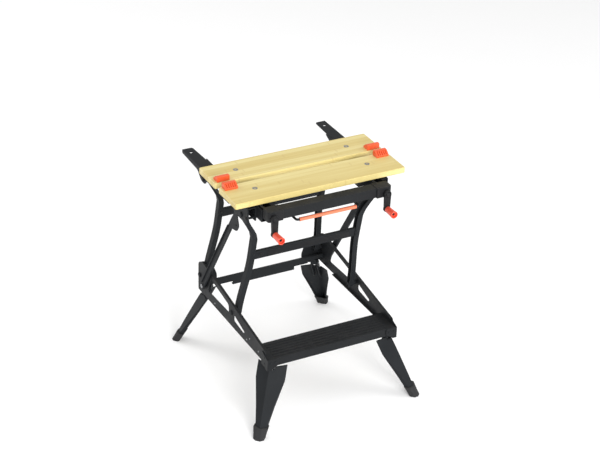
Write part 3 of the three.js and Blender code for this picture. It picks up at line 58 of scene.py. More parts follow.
# %% [markdown]
# ## Camera
# The bench is seen from the front left and from above, through a long lens, so
# its edges stay nearly parallel. A camera could be aimed with a Track To
# constraint, but a matrix built from three directions also holds the small roll.

# %% Camera
LOOK_AT = Vector((0.012, 0.0, 0.556))
DISTANCE = 5.612
AZIMUTH = math.radians(-28.19)
ELEVATION = math.radians(29.04)
ROLL = math.radians(1.64)
FOCAL_LENGTH = 101.52

away = Vector((
    math.sin(AZIMUTH) * math.cos(ELEVATION),
    -math.cos(AZIMUTH) * math.cos(ELEVATION),
    math.sin(ELEVATION),
))
level = Vector((math.cos(AZIMUTH), math.sin(AZIMUTH), 0.0))
upright = away.cross(level)
right = math.cos(ROLL) * level + math.sin(ROLL) * upright
up = math.cos(ROLL) * upright - math.sin(ROLL) * level

camera_data = bpy.data.cameras.new("camera")
camera_data.lens = FOCAL_LENGTH
camera_data.sensor_fit = "HORIZONTAL"
camera_data.clip_end = 100.0
camera = bpy.data.objects.new("camera", camera_data)
camera.matrix_world = Matrix.Translation(LOOK_AT + DISTANCE * away) @ Matrix(
    (right, up, away)
).transposed().to_4x4()
bpy.context.collection.objects.link(camera)
bpy.context.scene.camera = camera
print("camera", round(DISTANCE, 2), "m from the bench")

# %% [markdown]
# ## Light
# A product is lit from all around by white walls, with large soft boxes near it.
# The white world gives the walls. Three area lights give the shape: a low key in
# front, a weaker fill from the right and one from behind on the left. None of
# them stands where the flat tops would mirror it, so black steel stays dark. The
# Standard view keeps white white, where a film-like view would grey it.

# %% Light
WALL_STRENGTH = 0.8
SOFT_BOXES = {
    "key": {"at": (-0.6, -4.8, 2.4), "size": 3.0, "watts": 210.0},
    "fill": {"at": (3.4, -2.2, 2.6), "size": 2.6, "watts": 50.0},
    "back": {"at": (-2.6, 3.4, 2.6), "size": 2.4, "watts": 60.0},
}

world = bpy.data.worlds.new("white_walls")
world.use_nodes = True
world.node_tree.nodes["Background"].inputs["Color"].default_value = (1.0, 1.0, 1.0, 1.0)
world.node_tree.nodes["Background"].inputs["Strength"].default_value = WALL_STRENGTH
bpy.context.scene.world = world
bpy.context.scene.view_settings.view_transform = "Standard"

for name, box in SOFT_BOXES.items():
    lamp_data = bpy.data.lights.new(name, "AREA")
    lamp_data.shape = "DISK"
    lamp_data.size = box["size"]
    lamp_data.energy = box["watts"]
    lamp = bpy.data.objects.new(name, lamp_data)
    lamp.location = box["at"]
    lamp.rotation_euler = (LOOK_AT - lamp.location).to_track_quat("-Z", "Y").to_euler()
    bpy.context.collection.objects.link(lamp)
print("lit by the world and", len(SOFT_BOXES), "soft boxes")

# %% [markdown]
# ## Small helpers for shader nodes
# A material is a tree of nodes. Each node is made, set and wired in the same
# way, so one function does all three: a value that is a socket is wired, and
# any other value is set on the socket directly.

# %% Node helpers
def add_node(tree, kind, inputs=None, **settings):
    made = tree.nodes.new(kind)
    for name, value in settings.items():
        setattr(made, name, value)
    for socket, value in (inputs or {}).items():
        if isinstance(value, bpy.types.NodeSocket):
            tree.links.new(value, made.inputs[socket])
        else:
            made.inputs[socket].default_value = value
    return made


def maths(tree, operation, *values):
    return add_node(tree, "ShaderNodeMath", dict(enumerate(values)), operation=operation).outputs[0]


def remap(tree, value, low, high, to_low=0.0, to_high=1.0):
    sockets = {0: value, 1: low, 2: high, 3: to_low, 4: to_high}
    return add_node(tree, "ShaderNodeMapRange", sockets).outputs[0]


def mix_colour(tree, amount, first, second, how="MIX"):
    sockets = {0: amount, 6: first, 7: second}
    mix = add_node(tree, "ShaderNodeMix", sockets, data_type="RGBA", blend_type=how)
    return mix.outputs[2]


def surface_point(tree):
    return add_node(tree, "ShaderNodeTexCoord").outputs["Object"]


def stretched(tree, point, x, y, z):
    sockets = {0: point, 1: (x, y, z)}
    return add_node(tree, "ShaderNodeVectorMath", sockets, operation="MULTIPLY").outputs[0]


def noise(tree, point, scale, detail=2.0):
    sockets = {"Vector": point, "Scale": scale, "Detail": detail}
    return add_node(tree, "ShaderNodeTexNoise", sockets).outputs[0]


print("node helpers ready")

# %% [markdown]
# ## Shared effects as node groups
# Several finishes need the same effects. Each effect is built once as a group
# with named inputs and outputs, and each material places it with its own values.

# %% A new group
SOCKET_KINDS = {float: "NodeSocketFloat", tuple: "NodeSocketVector"}


def new_group(name, takes, gives):
    tree = bpy.data.node_groups.new(name, "ShaderNodeTree")
    for label, start in takes.items():
        kind = SOCKET_KINDS[type(start)]
        tree.interface.new_socket(label, in_out="INPUT", socket_type=kind).default_value = start
    for label, kind in gives.items():
        tree.interface.new_socket(label, in_out="OUTPUT", socket_type=SOCKET_KINDS[kind])
    return tree, tree.nodes.new("NodeGroupInput").outputs, tree.nodes.new("NodeGroupOutput").inputs


def place_group(tree, group, **inputs):
    made = tree.nodes.new("ShaderNodeGroup")
    made.node_tree = group
    for label, value in inputs.items():
        socket = made.inputs[label.replace("_", " ")]
        if isinstance(value, bpy.types.NodeSocket):
            tree.links.new(value, socket)
        else:
            socket.default_value = value
    return made.outputs


print("group helpers ready")

# %% [markdown]
# ### Rubbed edges
# Folded steel and moulded plastic have small rounded edges, and hands and floors
# rub them first. The Bevel node gives the normal of an edge rounded by a chosen
# radius. Where that normal turns away from the flat face there is an edge, and
# noise breaks the rub into patches.

# %% Rubbed edges
rubbed_edges, takes, gives = new_group(
    "rubbed_edges",
    {"Radius": 0.001, "Patch Scale": 90.0},
    {"Mask": float, "Normal": tuple},
)
rounded = add_node(rubbed_edges, "ShaderNodeBevel", {"Radius": takes["Radius"]}, samples=6).outputs[0]
face_normal = add_node(rubbed_edges, "ShaderNodeNewGeometry").outputs["Normal"]
agreement = add_node(
    rubbed_edges, "ShaderNodeVectorMath", {0: rounded, 1: face_normal}, operation="DOT_PRODUCT"
).outputs["Value"]
edge = remap(rubbed_edges, agreement, 0.99, 0.82)
patch_noise = noise(rubbed_edges, surface_point(rubbed_edges), takes["Patch Scale"], 3.0)
patches = remap(rubbed_edges, patch_noise, 0.4, 0.62)
rubbed_edges.links.new(maths(rubbed_edges, "MULTIPLY", edge, patches), gives["Mask"])
rubbed_edges.links.new(rounded, gives["Normal"])
print("group", rubbed_edges.name)

# %% [markdown]
# ### Mottle
# No coat is even: broad clouds come from the spray or the mould, and fine specks
# from the pigment. The group gives a shade near 1 to multiply a colour by, and
# the same clouds as a value for roughness.

# %% Mottle
mottle, takes, gives = new_group(
    "mottle",
    {"Cloud Scale": 9.0, "Speck Scale": 700.0, "Contrast": 0.2},
    {"Shade": float, "Clouds": float},
)
point = surface_point(mottle)
clouds = noise(mottle, point, takes["Cloud Scale"], 4.0)
specks = noise(mottle, point, takes["Speck Scale"], 1.0)
broad = maths(mottle, "MULTIPLY", clouds, 0.65)
fine = maths(mottle, "MULTIPLY", specks, 0.35)
both = maths(mottle, "ADD", broad, fine)
swing = maths(mottle, "MULTIPLY", maths(mottle, "SUBTRACT", both, 0.5), takes["Contrast"])
mottle.links.new(maths(mottle, "MULTIPLY_ADD", swing, 2.0, 1.0), gives["Shade"])
mottle.links.new(clouds, gives["Clouds"])
print("group", mottle.name)

# %% [markdown]
# ### Settled dust
# Workshop dust lies on faces that look up. The object's own normal is read, so
# the dust stays on its face when a piece folds.

# %% Settled dust
settled_dust, takes, gives = new_group(
    "settled_dust", {"Amount": 0.2, "Patch Scale": 26.0}, {"Mask": float}
)
own_normal = add_node(settled_dust, "ShaderNodeTexCoord").outputs["Normal"]
looks_up = add_node(settled_dust, "ShaderNodeSeparateXYZ", {0: own_normal}).outputs["Z"]
lies = remap(settled_dust, looks_up, 0.55, 0.98)
drift = noise(settled_dust, surface_point(settled_dust), takes["Patch Scale"], 5.0)
dusty = maths(settled_dust, "MULTIPLY", lies, remap(settled_dust, drift, 0.3, 0.75))
settled_dust.links.new(maths(settled_dust, "MULTIPLY", dusty, takes["Amount"]), gives["Mask"])
print("group", settled_dust.name)

# %% [markdown]
# ### Pebbled skin
# Powder coat cures with a faint orange-peel ripple, and moulds are grained. Both
# are a fine noise fed to a Bump node on top of the rounded normal.

# %% Pebbled skin
pebbled_skin, takes, gives = new_group(
    "pebbled_skin",
    {"Scale": 900.0, "Strength": 0.1, "Depth": 0.0002, "Normal": (0.0, 0.0, 1.0)},
    {"Normal": tuple},
)
pebbles = noise(pebbled_skin, surface_point(pebbled_skin), takes["Scale"], 2.0)
bump = add_node(pebbled_skin, "ShaderNodeBump", {
    "Strength": takes["Strength"],
    "Distance": takes["Depth"],
    "Height": pebbles,
    "Normal": takes["Normal"],
})
pebbled_skin.links.new(bump.outputs[0], gives["Normal"])
print("group", pebbled_skin.name)

# %% [markdown]
# ## Painted, moulded and rubber finishes
# Paint, plastic and rubber are built alike: a body colour with mottle, a lighter
# rub on the edges, dust on top and a pebbled skin. One function makes them all,
# and a table holds what differs. The frame's black and charcoal are powder coats,
# the pegs and grips are bright mouldings, and the feet are matt rubber.

# %% Coated finishes
DUST_COLOUR = (0.33, 0.31, 0.28, 1.0)
DUST_DULLS = 0.5
COATS = {
    "black_paint": dict(
        body=(0.0175, 0.0191, 0.021), rubbed=(0.05, 0.052, 0.055), rough=(0.36, 0.5),
        radius=0.0011, rub=0.5, dust=0.012, contrast=0.4, skin=(1100.0, 0.10), shine=0.05,
    ),
    "grey_paint": dict(
        body=(0.0125, 0.0136, 0.015), rubbed=(0.05, 0.052, 0.056), rough=(0.4, 0.54),
        radius=0.0011, rub=0.55, dust=0.025, contrast=0.4, skin=(1000.0, 0.12), shine=0.12,
    ),
    "dark_plastic": dict(
        body=(0.0085, 0.009, 0.0102), rubbed=(0.034, 0.035, 0.037), rough=(0.46, 0.6),
        radius=0.0014, rub=0.4, dust=0.04, contrast=0.3, skin=(1500.0, 0.22), shine=0.2,
    ),
    "orange_plastic": dict(
        body=(0.74, 0.095, 0.025), rubbed=(0.88, 0.24, 0.09), rough=(0.34, 0.46),
        radius=0.0009, rub=0.5, dust=0.03, contrast=0.16, skin=(1400.0, 0.10), shine=0.45,
    ),
    "red_plastic": dict(
        body=(0.82, 0.088, 0.045), rubbed=(0.92, 0.22, 0.14), rough=(0.3, 0.42),
        radius=0.0009, rub=0.45, dust=0.04, contrast=0.14, skin=(1400.0, 0.08), shine=0.5,
    ),
    "salmon_plastic": dict(
        body=(0.72, 0.19, 0.095), rubbed=(0.85, 0.34, 0.2), rough=(0.42, 0.55),
        radius=0.0009, rub=0.4, dust=0.05, contrast=0.18, skin=(1200.0, 0.14), shine=0.35,
    ),
    "foot_rubber": dict(
        body=(0.025, 0.0252, 0.0265), rubbed=(0.06, 0.059, 0.057), rough=(0.72, 0.88),
        radius=0.0022, rub=0.5, dust=0.08, contrast=0.3, skin=(1800.0, 0.25), shine=0.25,
    ),
}


def coated(name, body, rubbed, rough, radius, rub, dust, contrast, skin, shine):
    material = bpy.data.materials.new(name)
    material.use_nodes = True
    tree = material.node_tree
    shader = tree.nodes["Principled BSDF"]
    shader.inputs["Specular IOR Level"].default_value = shine
    edges = place_group(tree, rubbed_edges, Radius=radius)
    tone = place_group(tree, mottle, Contrast=contrast)
    settled = place_group(tree, settled_dust, Amount=dust)
    grain_scale, grain_strength = skin
    grain = place_group(
        tree, pebbled_skin, Scale=grain_scale, Strength=grain_strength, Normal=edges["Normal"]
    )
    shaded = mix_colour(tree, 1.0, (*body, 1.0), tone["Shade"], "MULTIPLY")
    worn = mix_colour(tree, maths(tree, "MULTIPLY", edges["Mask"], rub), shaded, (*rubbed, 1.0))
    dusted = mix_colour(tree, settled["Mask"], worn, DUST_COLOUR)
    smooth, matt = rough
    sheen = remap(tree, tone["Clouds"], 0.3, 0.7, smooth, matt)
    tree.links.new(dusted, shader.inputs["Base Color"])
    dulled = maths(tree, "MULTIPLY", settled["Mask"], DUST_DULLS)
    tree.links.new(maths(tree, "ADD", sheen, dulled), shader.inputs["Roughness"])
    tree.links.new(grain["Normal"], shader.inputs["Normal"])
    return material


finishes = {name: coated(name, **coat) for name, coat in COATS.items()}
print("coats:", ", ".join(finishes))

# %% [markdown]
# ## Zinc-plated steel
# The lead screws, leg pins, jaw bolts, side rivets and lock studs are zinc plated:
# a bright grey metal with dull clouds and fine turning lines. The lines are a
# noise squeezed along X, the axis of the rivets and studs on the sides. A plain
# metallic shader would do from afar, but looks like chrome close up.

# %% Plated steel
ZINC_GREY = (0.3, 0.305, 0.315, 1.0)
RUBBED_ZINC = (0.5, 0.505, 0.515, 1.0)
plated = bpy.data.materials.new("plated_steel")
plated.use_nodes = True
tree = plated.node_tree
shader = tree.nodes["Principled BSDF"]
shader.inputs["Metallic"].default_value = 1.0
edges = place_group(tree, rubbed_edges, Radius=0.0006)
tone = place_group(tree, mottle, Cloud_Scale=60.0, Contrast=0.3)
settled = place_group(tree, settled_dust, Amount=0.12)
zinc = mix_colour(tree, 1.0, ZINC_GREY, tone["Shade"], "MULTIPLY")
bright = mix_colour(tree, edges["Mask"], zinc, RUBBED_ZINC)
turning = noise(tree, stretched(tree, surface_point(tree), 4000.0, 90.0, 90.0), 1.0)
lines = add_node(tree, "ShaderNodeBump", {
    "Strength": 0.12, "Distance": 0.0001, "Height": turning, "Normal": edges["Normal"],
})
tree.links.new(mix_colour(tree, settled["Mask"], bright, DUST_COLOUR), shader.inputs["Base Color"])
tree.links.new(remap(tree, tone["Clouds"], 0.3, 0.7, 0.36, 0.52), shader.inputs["Roughness"])
tree.links.new(lines.outputs[0], shader.inputs["Normal"])
finishes["plated_steel"] = plated
print("finish plated_steel")

# %% [markdown]
# ## Laminated bamboo
# The jaws are boards of bamboo strips glued edge to edge and lacquered. Each
# strip has its own tone, long fibres and, now and then, the ring of a joint of
# the cane. Strips are numbered by rounding the Y coordinate down; a white noise
# on that number gives each one its tone and shifts its rings.

# %% Bamboo strips
STRIP_WIDTH = 0.0205
RING_SPACING = 0.34
PALE_BAMBOO = (0.73, 0.628, 0.28, 1.0)
DEEP_BAMBOO = (0.565, 0.425, 0.125, 1.0)
RING_BROWN = (0.42, 0.25, 0.085, 1.0)

bamboo = bpy.data.materials.new("bamboo")
bamboo.use_nodes = True
tree = bamboo.node_tree
point = surface_point(tree)
coordinates = add_node(tree, "ShaderNodeSeparateXYZ", {0: point}).outputs
along = coordinates["X"]
across = coordinates["Y"]
strips = maths(tree, "DIVIDE", across, STRIP_WIDTH)
strip_number = maths(tree, "FLOOR", strips)
chance = add_node(
    tree, "ShaderNodeTexWhiteNoise", {"W": strip_number}, noise_dimensions="1D"
).outputs["Value"]
fibres = noise(tree, stretched(tree, point, 9.0, 1100.0, 1100.0), 1.0, 3.0)
figure = noise(tree, stretched(tree, point, 3.0, 75.0, 75.0), 1.0, 3.0)
print("strips", round(STRIP_WIDTH * 1000, 1), "mm wide")

# %% [markdown]
# The rings sit where the shifted distance along the strip wraps round, and the
# glue lines where the strip number changes. The cut ends show the cane's fibre
# bundles as dark dots, so a cell pattern is mixed in where the face looks along X.

# %% Bamboo rings, glue lines and ends
shift = maths(tree, "MULTIPLY", chance, 7.0)
shifted = maths(tree, "ADD", maths(tree, "DIVIDE", along, RING_SPACING), shift)
to_ring = maths(tree, "ABSOLUTE", maths(tree, "SUBTRACT", maths(tree, "FRACT", shifted), 0.5))
ring = remap(tree, to_ring, 0.011, 0.003)
to_glue = maths(tree, "ABSOLUTE", maths(tree, "SUBTRACT", maths(tree, "FRACT", strips), 0.5))
glue = remap(tree, to_glue, 0.487, 0.497)
own_normal = add_node(tree, "ShaderNodeTexCoord").outputs["Normal"]
end_on = add_node(tree, "ShaderNodeSeparateXYZ", {0: own_normal}).outputs["X"]
is_end = remap(tree, maths(tree, "ABSOLUTE", end_on), 0.7, 0.9)
bundles = add_node(
    tree, "ShaderNodeTexVoronoi", {"Vector": point, "Scale": 620.0}
).outputs["Distance"]
dots = maths(tree, "MULTIPLY", is_end, remap(tree, bundles, 0.42, 0.2))
print("rings every", RING_SPACING, "m")

# %% [markdown]
# The colour is laid on in layers, as it grows and wears on the board: the tone of
# the strip, its fibres, rings, glue lines and end dots, then a darker touch on
# edges that hands rub. An image could hold all this, but layers of noise never
# repeat and stay sharp close up. A thin Coat on the shader is the lacquer.

# %% Bamboo colour and lacquer
tone = maths(tree, "ADD", maths(tree, "MULTIPLY", chance, 0.5), maths(tree, "MULTIPLY", figure, 0.7))
wood = mix_colour(tree, remap(tree, tone, 0.2, 1.0), PALE_BAMBOO, DEEP_BAMBOO)
grained = mix_colour(tree, remap(tree, fibres, 0.5, 0.8, 0.0, 0.35), wood, DEEP_BAMBOO)
ringed = mix_colour(tree, maths(tree, "MULTIPLY", ring, 0.2), grained, RING_BROWN)
glued = mix_colour(tree, maths(tree, "MULTIPLY", glue, 0.18), ringed, RING_BROWN)
ended = mix_colour(tree, maths(tree, "MULTIPLY", dots, 0.55), glued, RING_BROWN)
edges = place_group(tree, rubbed_edges, Radius=0.0016, Patch_Scale=45.0)
handled = mix_colour(tree, maths(tree, "MULTIPLY", edges["Mask"], 0.25), ended, RING_BROWN)
relief = maths(tree, "SUBTRACT", maths(tree, "MULTIPLY", fibres, 0.5), maths(tree, "ADD", glue, ring))
bump = add_node(tree, "ShaderNodeBump", {
    "Strength": 0.16, "Distance": 0.0004, "Height": relief, "Normal": edges["Normal"],
})
shader = tree.nodes["Principled BSDF"]
shader.inputs["Coat Weight"].default_value = 0.22
shader.inputs["Coat Roughness"].default_value = 0.25
tree.links.new(handled, shader.inputs["Base Color"])
tree.links.new(remap(tree, fibres, 0.3, 0.7, 0.42, 0.58), shader.inputs["Roughness"])
tree.links.new(bump.outputs[0], shader.inputs["Normal"])
finishes["bamboo"] = bamboo
print("finish bamboo")

# %% [markdown]
# ## Dress the solids
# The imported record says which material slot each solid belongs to, and the
# finishes above carry the slots' names. So the solids are dressed in one loop.

# %% Dress the solids
for part in frame["record"]["subparts"]:
    solid = nodes[part["node"]]
    if not solid.material_slots:
        solid.data.materials.append(None)
    for slot in solid.material_slots:
        slot.material = finishes[part["material_slot"]]

# %% [markdown]
# ## Floor
# A wide pale floor catches a soft shadow under the feet. It is a disc, so no
# corner shows from any side, with a faint cloud in its colour.

# %% Floor
FLOOR_RADIUS = 40.0
FLOOR_WHITE = (0.94, 0.94, 0.94, 1.0)
floor_shape = bmesh.new()
bmesh.ops.create_circle(floor_shape, cap_ends=True, segments=96, radius=FLOOR_RADIUS)
floor_mesh = bpy.data.meshes.new("floor")
floor_shape.to_mesh(floor_mesh)
floor_shape.free()
floor = bpy.data.objects.new("floor", floor_mesh)
bpy.context.collection.objects.link(floor)

pale = bpy.data.materials.new("pale_floor")
pale.use_nodes = True
tree = pale.node_tree
shader = tree.nodes["Principled BSDF"]
tone = place_group(tree, mottle, Cloud_Scale=1.2, Contrast=0.02)
clouded = mix_colour(tree, 1.0, FLOOR_WHITE, tone["Shade"], "MULTIPLY")
tree.links.new(clouded, shader.inputs["Base Color"])
shader.inputs["Roughness"].default_value = 0.9
shader.inputs["Specular IOR Level"].default_value = 0.1
floor_mesh.materials.append(pale)
print("floor", 2 * FLOOR_RADIUS, "m across")

# %% [markdown]
# ## Small pieces in mesh code
# The fasteners are drawn in millimetres in a bmesh and scaled to metres at the
# end. Each piece rides on the body that carries it, so it folds with the bench,
# and takes the material slot of its finish.

# %% Finish a piece
MM = 0.001
CREASE = math.radians(32)


def finish_piece(name, shape, body, finish):
    bmesh.ops.recalc_face_normals(shape, faces=shape.faces)
    mesh = bpy.data.meshes.new(name)
    shape.to_mesh(mesh)
    shape.free()
    mesh.transform(Matrix.Scale(MM, 4))
    mesh.shade_smooth()
    mesh.set_sharp_from_angle(angle=CREASE)
    mesh.materials.append(finishes[finish])
    piece = bpy.data.objects.new(name, mesh)
    bpy.context.collection.objects.link(piece)
    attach(piece, body)
    return piece


def box_mm(node):
    low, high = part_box(node)
    return low / MM, high / MM


def middle_mm(node):
    low, high = box_mm(node)
    return (low + high) / 2


SIDES = {"left": -1, "right": 1}
print("pieces are creased at", round(math.degrees(CREASE)), "degrees")

# %% [markdown]
# A turned piece is a profile of (radius, distance) points swept once round an
# axis, as a lathe would cut it. Blender has a Screw modifier for this; drawing
# the rings directly lets many heads share one mesh.

# %% Turned pieces
def turn(shape, profile, centre, axis, sides=28, closed=False):
    axis = Vector(axis).normalized()
    across = axis.orthogonal().normalized()
    over = axis.cross(across)
    rings = []
    for radius, reach in profile:
        start = Vector(centre) + axis * reach
        count = 1 if radius == 0 else sides
        turns = [2 * math.pi * i / sides for i in range(count)]
        rings.append([
            shape.verts.new(start + radius * (math.cos(a) * across + math.sin(a) * over))
            for a in turns
        ])
    pairs = list(zip(rings, rings[1:]))
    if closed:
        pairs.append((rings[-1], rings[0]))
    for low, high in pairs:
        for i in range(sides):
            j = (i + 1) % sides
            corners = [low[i % len(low)], low[j % len(low)], high[j % len(high)], high[i % len(high)]]
            shape.faces.new(list(dict.fromkeys(corners)))


DOME = [(0, -0.3), (1, -0.3), (1, 0.22), (0.93, 0.5), (0.74, 0.8), (0.42, 0.95), (0, 1)]


def domed_head(shape, centre, axis, radius, height):
    turn(shape, [(r * radius, h * height) for r, h in DOME], centre, axis)


print("dome profile of", len(DOME), "points")

# %% [markdown]
# ## Pivot heads
# Each pivot pin ends in a head that was domed when it was riveted over, then
# painted with its frame. The solids have flat heads; a dome sits on each one.

# %% Pivot heads
PIVOT_HEAD_RADIUS = 8.6
PIVOT_DOME = 1.5
PIN_BODIES = {
    "rear_top_pin": "top",
    "front_top_pin": "top",
    "rear_base_pin": "base",
    "front_base_pin": "base",
}

for pin, body in PIN_BODIES.items():
    shape = bmesh.new()
    for side, sign in SIDES.items():
        low, high = box_mm(f"{pin}_{side}")
        centre = (low + high) / 2
        centre.x = high.x if sign > 0 else low.x
        domed_head(shape, centre, (sign, 0, 0), PIVOT_HEAD_RADIUS, PIVOT_DOME)
    finish_piece(f"{pin}_domes", shape, body, "black_paint")
print("domes on", 2 * len(PIN_BODIES), "pivot pins")

# %% [markdown]
# ## Lead screws
# Turning a crank turns a screw that draws the front jaw in. The solid is a plain
# rod; the real one carries a single-start thread. The thread is a tube whose
# radius rises and falls with the distance along the screw less the turn round
# it. Plain journals stay at both ends, where the screw turns in its bearings.

# %% Lead screws
THREAD_PITCH = 6.0
THREAD_ROOT = 4.7
THREAD_CREST = 6.0
STEPS_PER_TURN = 8
SCREW_SIDES = 16
REAR_JOURNAL = 10.0
COLLAR_GAP = 0.3
COLLAR_LENGTH = 6.0


def thread_radius(along, angle, crest):
    phase = (along / THREAD_PITCH - angle / (2 * math.pi)) % 1.0
    flank = min(phase, 1.0 - phase) * 2
    return THREAD_ROOT + (crest - THREAD_ROOT) * min(max((flank - 0.25) / 0.35, 0.0), 1.0)


def lead_screw(side):
    low, high = box_mm(f"lead_screw_{side}")
    axis = (low + high) / 2
    collar = (high.x - low.x) / 2
    crest = THREAD_CREST
    collar_from = box_mm(f"beam_end_cap_{side}")[1].y + COLLAR_GAP
    collar_to = collar_from + COLLAR_LENGTH
    shape = bmesh.new()
    turn(shape, [(0, low.y), (crest, low.y), (crest, collar_from), (collar - 0.8, collar_from),
                 (collar, collar_from + 0.8), (collar, collar_to - 0.8), (collar - 0.8, collar_to),
                 (THREAD_ROOT, collar_to)], (axis.x, 0, axis.z), (0, 1, 0), SCREW_SIDES)
    turn(shape, [(THREAD_ROOT, high.y - REAR_JOURNAL), (crest, high.y - REAR_JOURNAL),
                 (crest, high.y - 1), (crest - 1, high.y), (0, high.y)],
         (axis.x, 0, axis.z), (0, 1, 0), SCREW_SIDES)
    rings = []
    stops = round((high.y - REAR_JOURNAL - collar_to) / THREAD_PITCH * STEPS_PER_TURN)
    for i in range(stops + 1):
        along = collar_to + (high.y - REAR_JOURNAL - collar_to) * i / stops
        ring = []
        for k in range(SCREW_SIDES):
            angle = 2 * math.pi * k / SCREW_SIDES
            radius = thread_radius(along, angle, crest)
            ring.append(shape.verts.new(
                (axis.x + radius * math.cos(angle), along, axis.z + radius * math.sin(angle))
            ))
        rings.append(ring)
    for near, far in zip(rings, rings[1:]):
        for k in range(SCREW_SIDES):
            j = (k + 1) % SCREW_SIDES
            shape.faces.new((near[k], near[j], far[j], far[k]))
    return shape, stops


for side in SIDES:
    shape, stops = lead_screw(side)
    screw = finish_piece(f"thread_{side}", shape, f"crank_{side}", "plated_steel")
    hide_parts(f"lead_screw_{side}")
print("threads of", round(stops / STEPS_PER_TURN), "turns")

# %% [markdown]
# ## Crank grips and bosses
# The grips are hollow cones that spin on a stud, wider at the free end, with a
# rolled rim. The crank arm swells into a round boss at each end.

# %% Crank grips and bosses
GRIP_BORE = 4.9
GRIP_MOUTH = 9.4
GRIP_MOUTH_DEPTH = 9.0
GRIP_TAPER = 2.0
GRIP_GAP = 0.4
BOSS_SWELL = 2.0
CRANK_NUT_RADIUS = 7.5
CRANK_NUT_DOME = 2.6

for side, sign in SIDES.items():
    low, high = box_mm(f"crank_grip_{side}")
    tip_radius = (high.x - low.x) / 2
    length = high.y - low.y
    root_radius = tip_radius - GRIP_TAPER
    grip_axis = (low + high) / 2
    grip_axis.y = high.y
    shape = bmesh.new()
    turn(shape, [
        (GRIP_BORE, 0), (root_radius - 1.5, 0), (root_radius - 0.3, 0.8), (root_radius, 2),
        (tip_radius - 0.9, length - 9), (tip_radius, length - 3.5), (tip_radius - 0.2, length - 1.2),
        (tip_radius - 1.3, length - 0.1), (GRIP_MOUTH + 1.2, length), (GRIP_MOUTH, length - 1.2),
        (GRIP_MOUTH - 0.6, length - GRIP_MOUTH_DEPTH), (GRIP_BORE, length - GRIP_MOUTH_DEPTH),
    ], grip_axis, (0, -1, 0), sides=40, closed=True)
    grip = finish_piece(f"grip_cone_{side}", shape, f"grip_{side}", "red_plastic")
    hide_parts(f"crank_grip_{side}")

    arm_high = box_mm(f"crank_arm_{side}")[1]
    screw_axis = middle_mm(f"lead_screw_{side}")
    arm_front = high.y + GRIP_GAP
    arm_back = arm_high.y
    thickness = arm_back - arm_front
    shape = bmesh.new()
    for height, radius in ((screw_axis.z, arm_high.z - screw_axis.z), (grip_axis.z, root_radius)):
        reach = radius + BOSS_SWELL * (0.6 if radius > root_radius else 0.7)
        turn(shape, [
            (0, 0.0), (reach - 2.2, 0.0), (reach - 0.6, 0.7), (reach, 2.2), (reach, thickness - 1.5),
            (reach - 1.2, thickness), (0, thickness),
        ], (screw_axis.x, arm_front, height), (0, 1, 0), sides=36)
    nut_at = (screw_axis.x, arm_front, screw_axis.z)
    domed_head(shape, nut_at, (0, -1, 0), CRANK_NUT_RADIUS, CRANK_NUT_DOME)
    finish_piece(f"crank_bosses_{side}", shape, f"crank_{side}", "dark_plastic")
print("grips", round(length, 1), "mm long")

# %% [markdown]
# ## Release bail
# One bent wire runs through both side arms and forward to a sleeve under the
# beam. The solid's rod has eight sides; here the same bends are swept with
# rounder rings, and the sleeve gets rolled ends.

# %% Release bail
ROD_SIDES = 18
BEND_RADIUS = 9.0
BEND_STEPS = 8
ARM_PAST_SLEEVE = 10.0
ROD_RADIUS = 4.0
SLEEVE_GAP = 0.3


def bend_path(corners):
    path = [corners[0]]
    for before, here, after in zip(corners, corners[1:], corners[2:]):
        enter = here + (before - here).normalized() * BEND_RADIUS
        leave = here + (after - here).normalized() * BEND_RADIUS
        for i in range(BEND_STEPS + 1):
            t = i / BEND_STEPS
            path.append((1 - t) ** 2 * enter + 2 * t * (1 - t) * here + t ** 2 * leave)
    return path + [corners[-1]]


def sweep_rod(shape, path, radius):
    rings = []
    for i, spot in enumerate(path):
        ahead = (path[min(i + 1, len(path) - 1)] - path[max(i - 1, 0)]).normalized()
        out = Vector((-ahead.y, ahead.x, 0))
        rings.append([
            shape.verts.new(spot + radius * (math.cos(a) * out + math.sin(a) * Vector((0, 0, 1))))
            for a in (2 * math.pi * k / ROD_SIDES for k in range(ROD_SIDES))
        ])
    for near, far in zip(rings, rings[1:]):
        for k in range(ROD_SIDES):
            j = (k + 1) % ROD_SIDES
            shape.faces.new((near[k], near[j], far[j], far[k]))
    shape.faces.new(rings[0])
    shape.faces.new(rings[-1])


low, high = box_mm("release_bail")
sleeve_low, sleeve_high = box_mm("bail_grip")
rod_flat = (high.z - low.z) / 2
height = (low.z + high.z) / 2
shaft_y = high.y - rod_flat
grip_y = (sleeve_low.y + sleeve_high.y) / 2
arm_x = sleeve_high.x + ARM_PAST_SLEEVE
shaft_end = high.x
corners = [
    Vector((x, y, height))
    for x, y in (
        (low.x, shaft_y), (-arm_x, shaft_y), (-arm_x, grip_y),
        (arm_x, grip_y), (arm_x, shaft_y), (high.x, shaft_y),
    )
]
shape = bmesh.new()
sweep_rod(shape, bend_path(corners), ROD_RADIUS)
bail = finish_piece("bail_wire", shape, "bail", "black_paint")
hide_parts("release_bail")

reach = sleeve_high.x
radius = (sleeve_high.z - sleeve_low.z) / 2
shape = bmesh.new()
turn(shape, [
    (ROD_RADIUS + SLEEVE_GAP, -reach), (radius - 0.9, -reach), (radius - 0.2, -reach + 0.6),
    (radius, -reach + 2), (radius - 0.35, -reach + 4), (radius - 0.35, reach - 4),
    (radius, reach - 2), (radius - 0.2, reach - 0.6), (radius - 0.9, reach),
    (ROD_RADIUS + SLEEVE_GAP, reach),
], (0, grip_y, height), (1, 0, 0), sides=32, closed=True)
sleeve = finish_piece("bail_sleeve", shape, "bail", "salmon_plastic")
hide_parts("bail_grip")
print("bail", round(high.x - low.x), "mm wide")

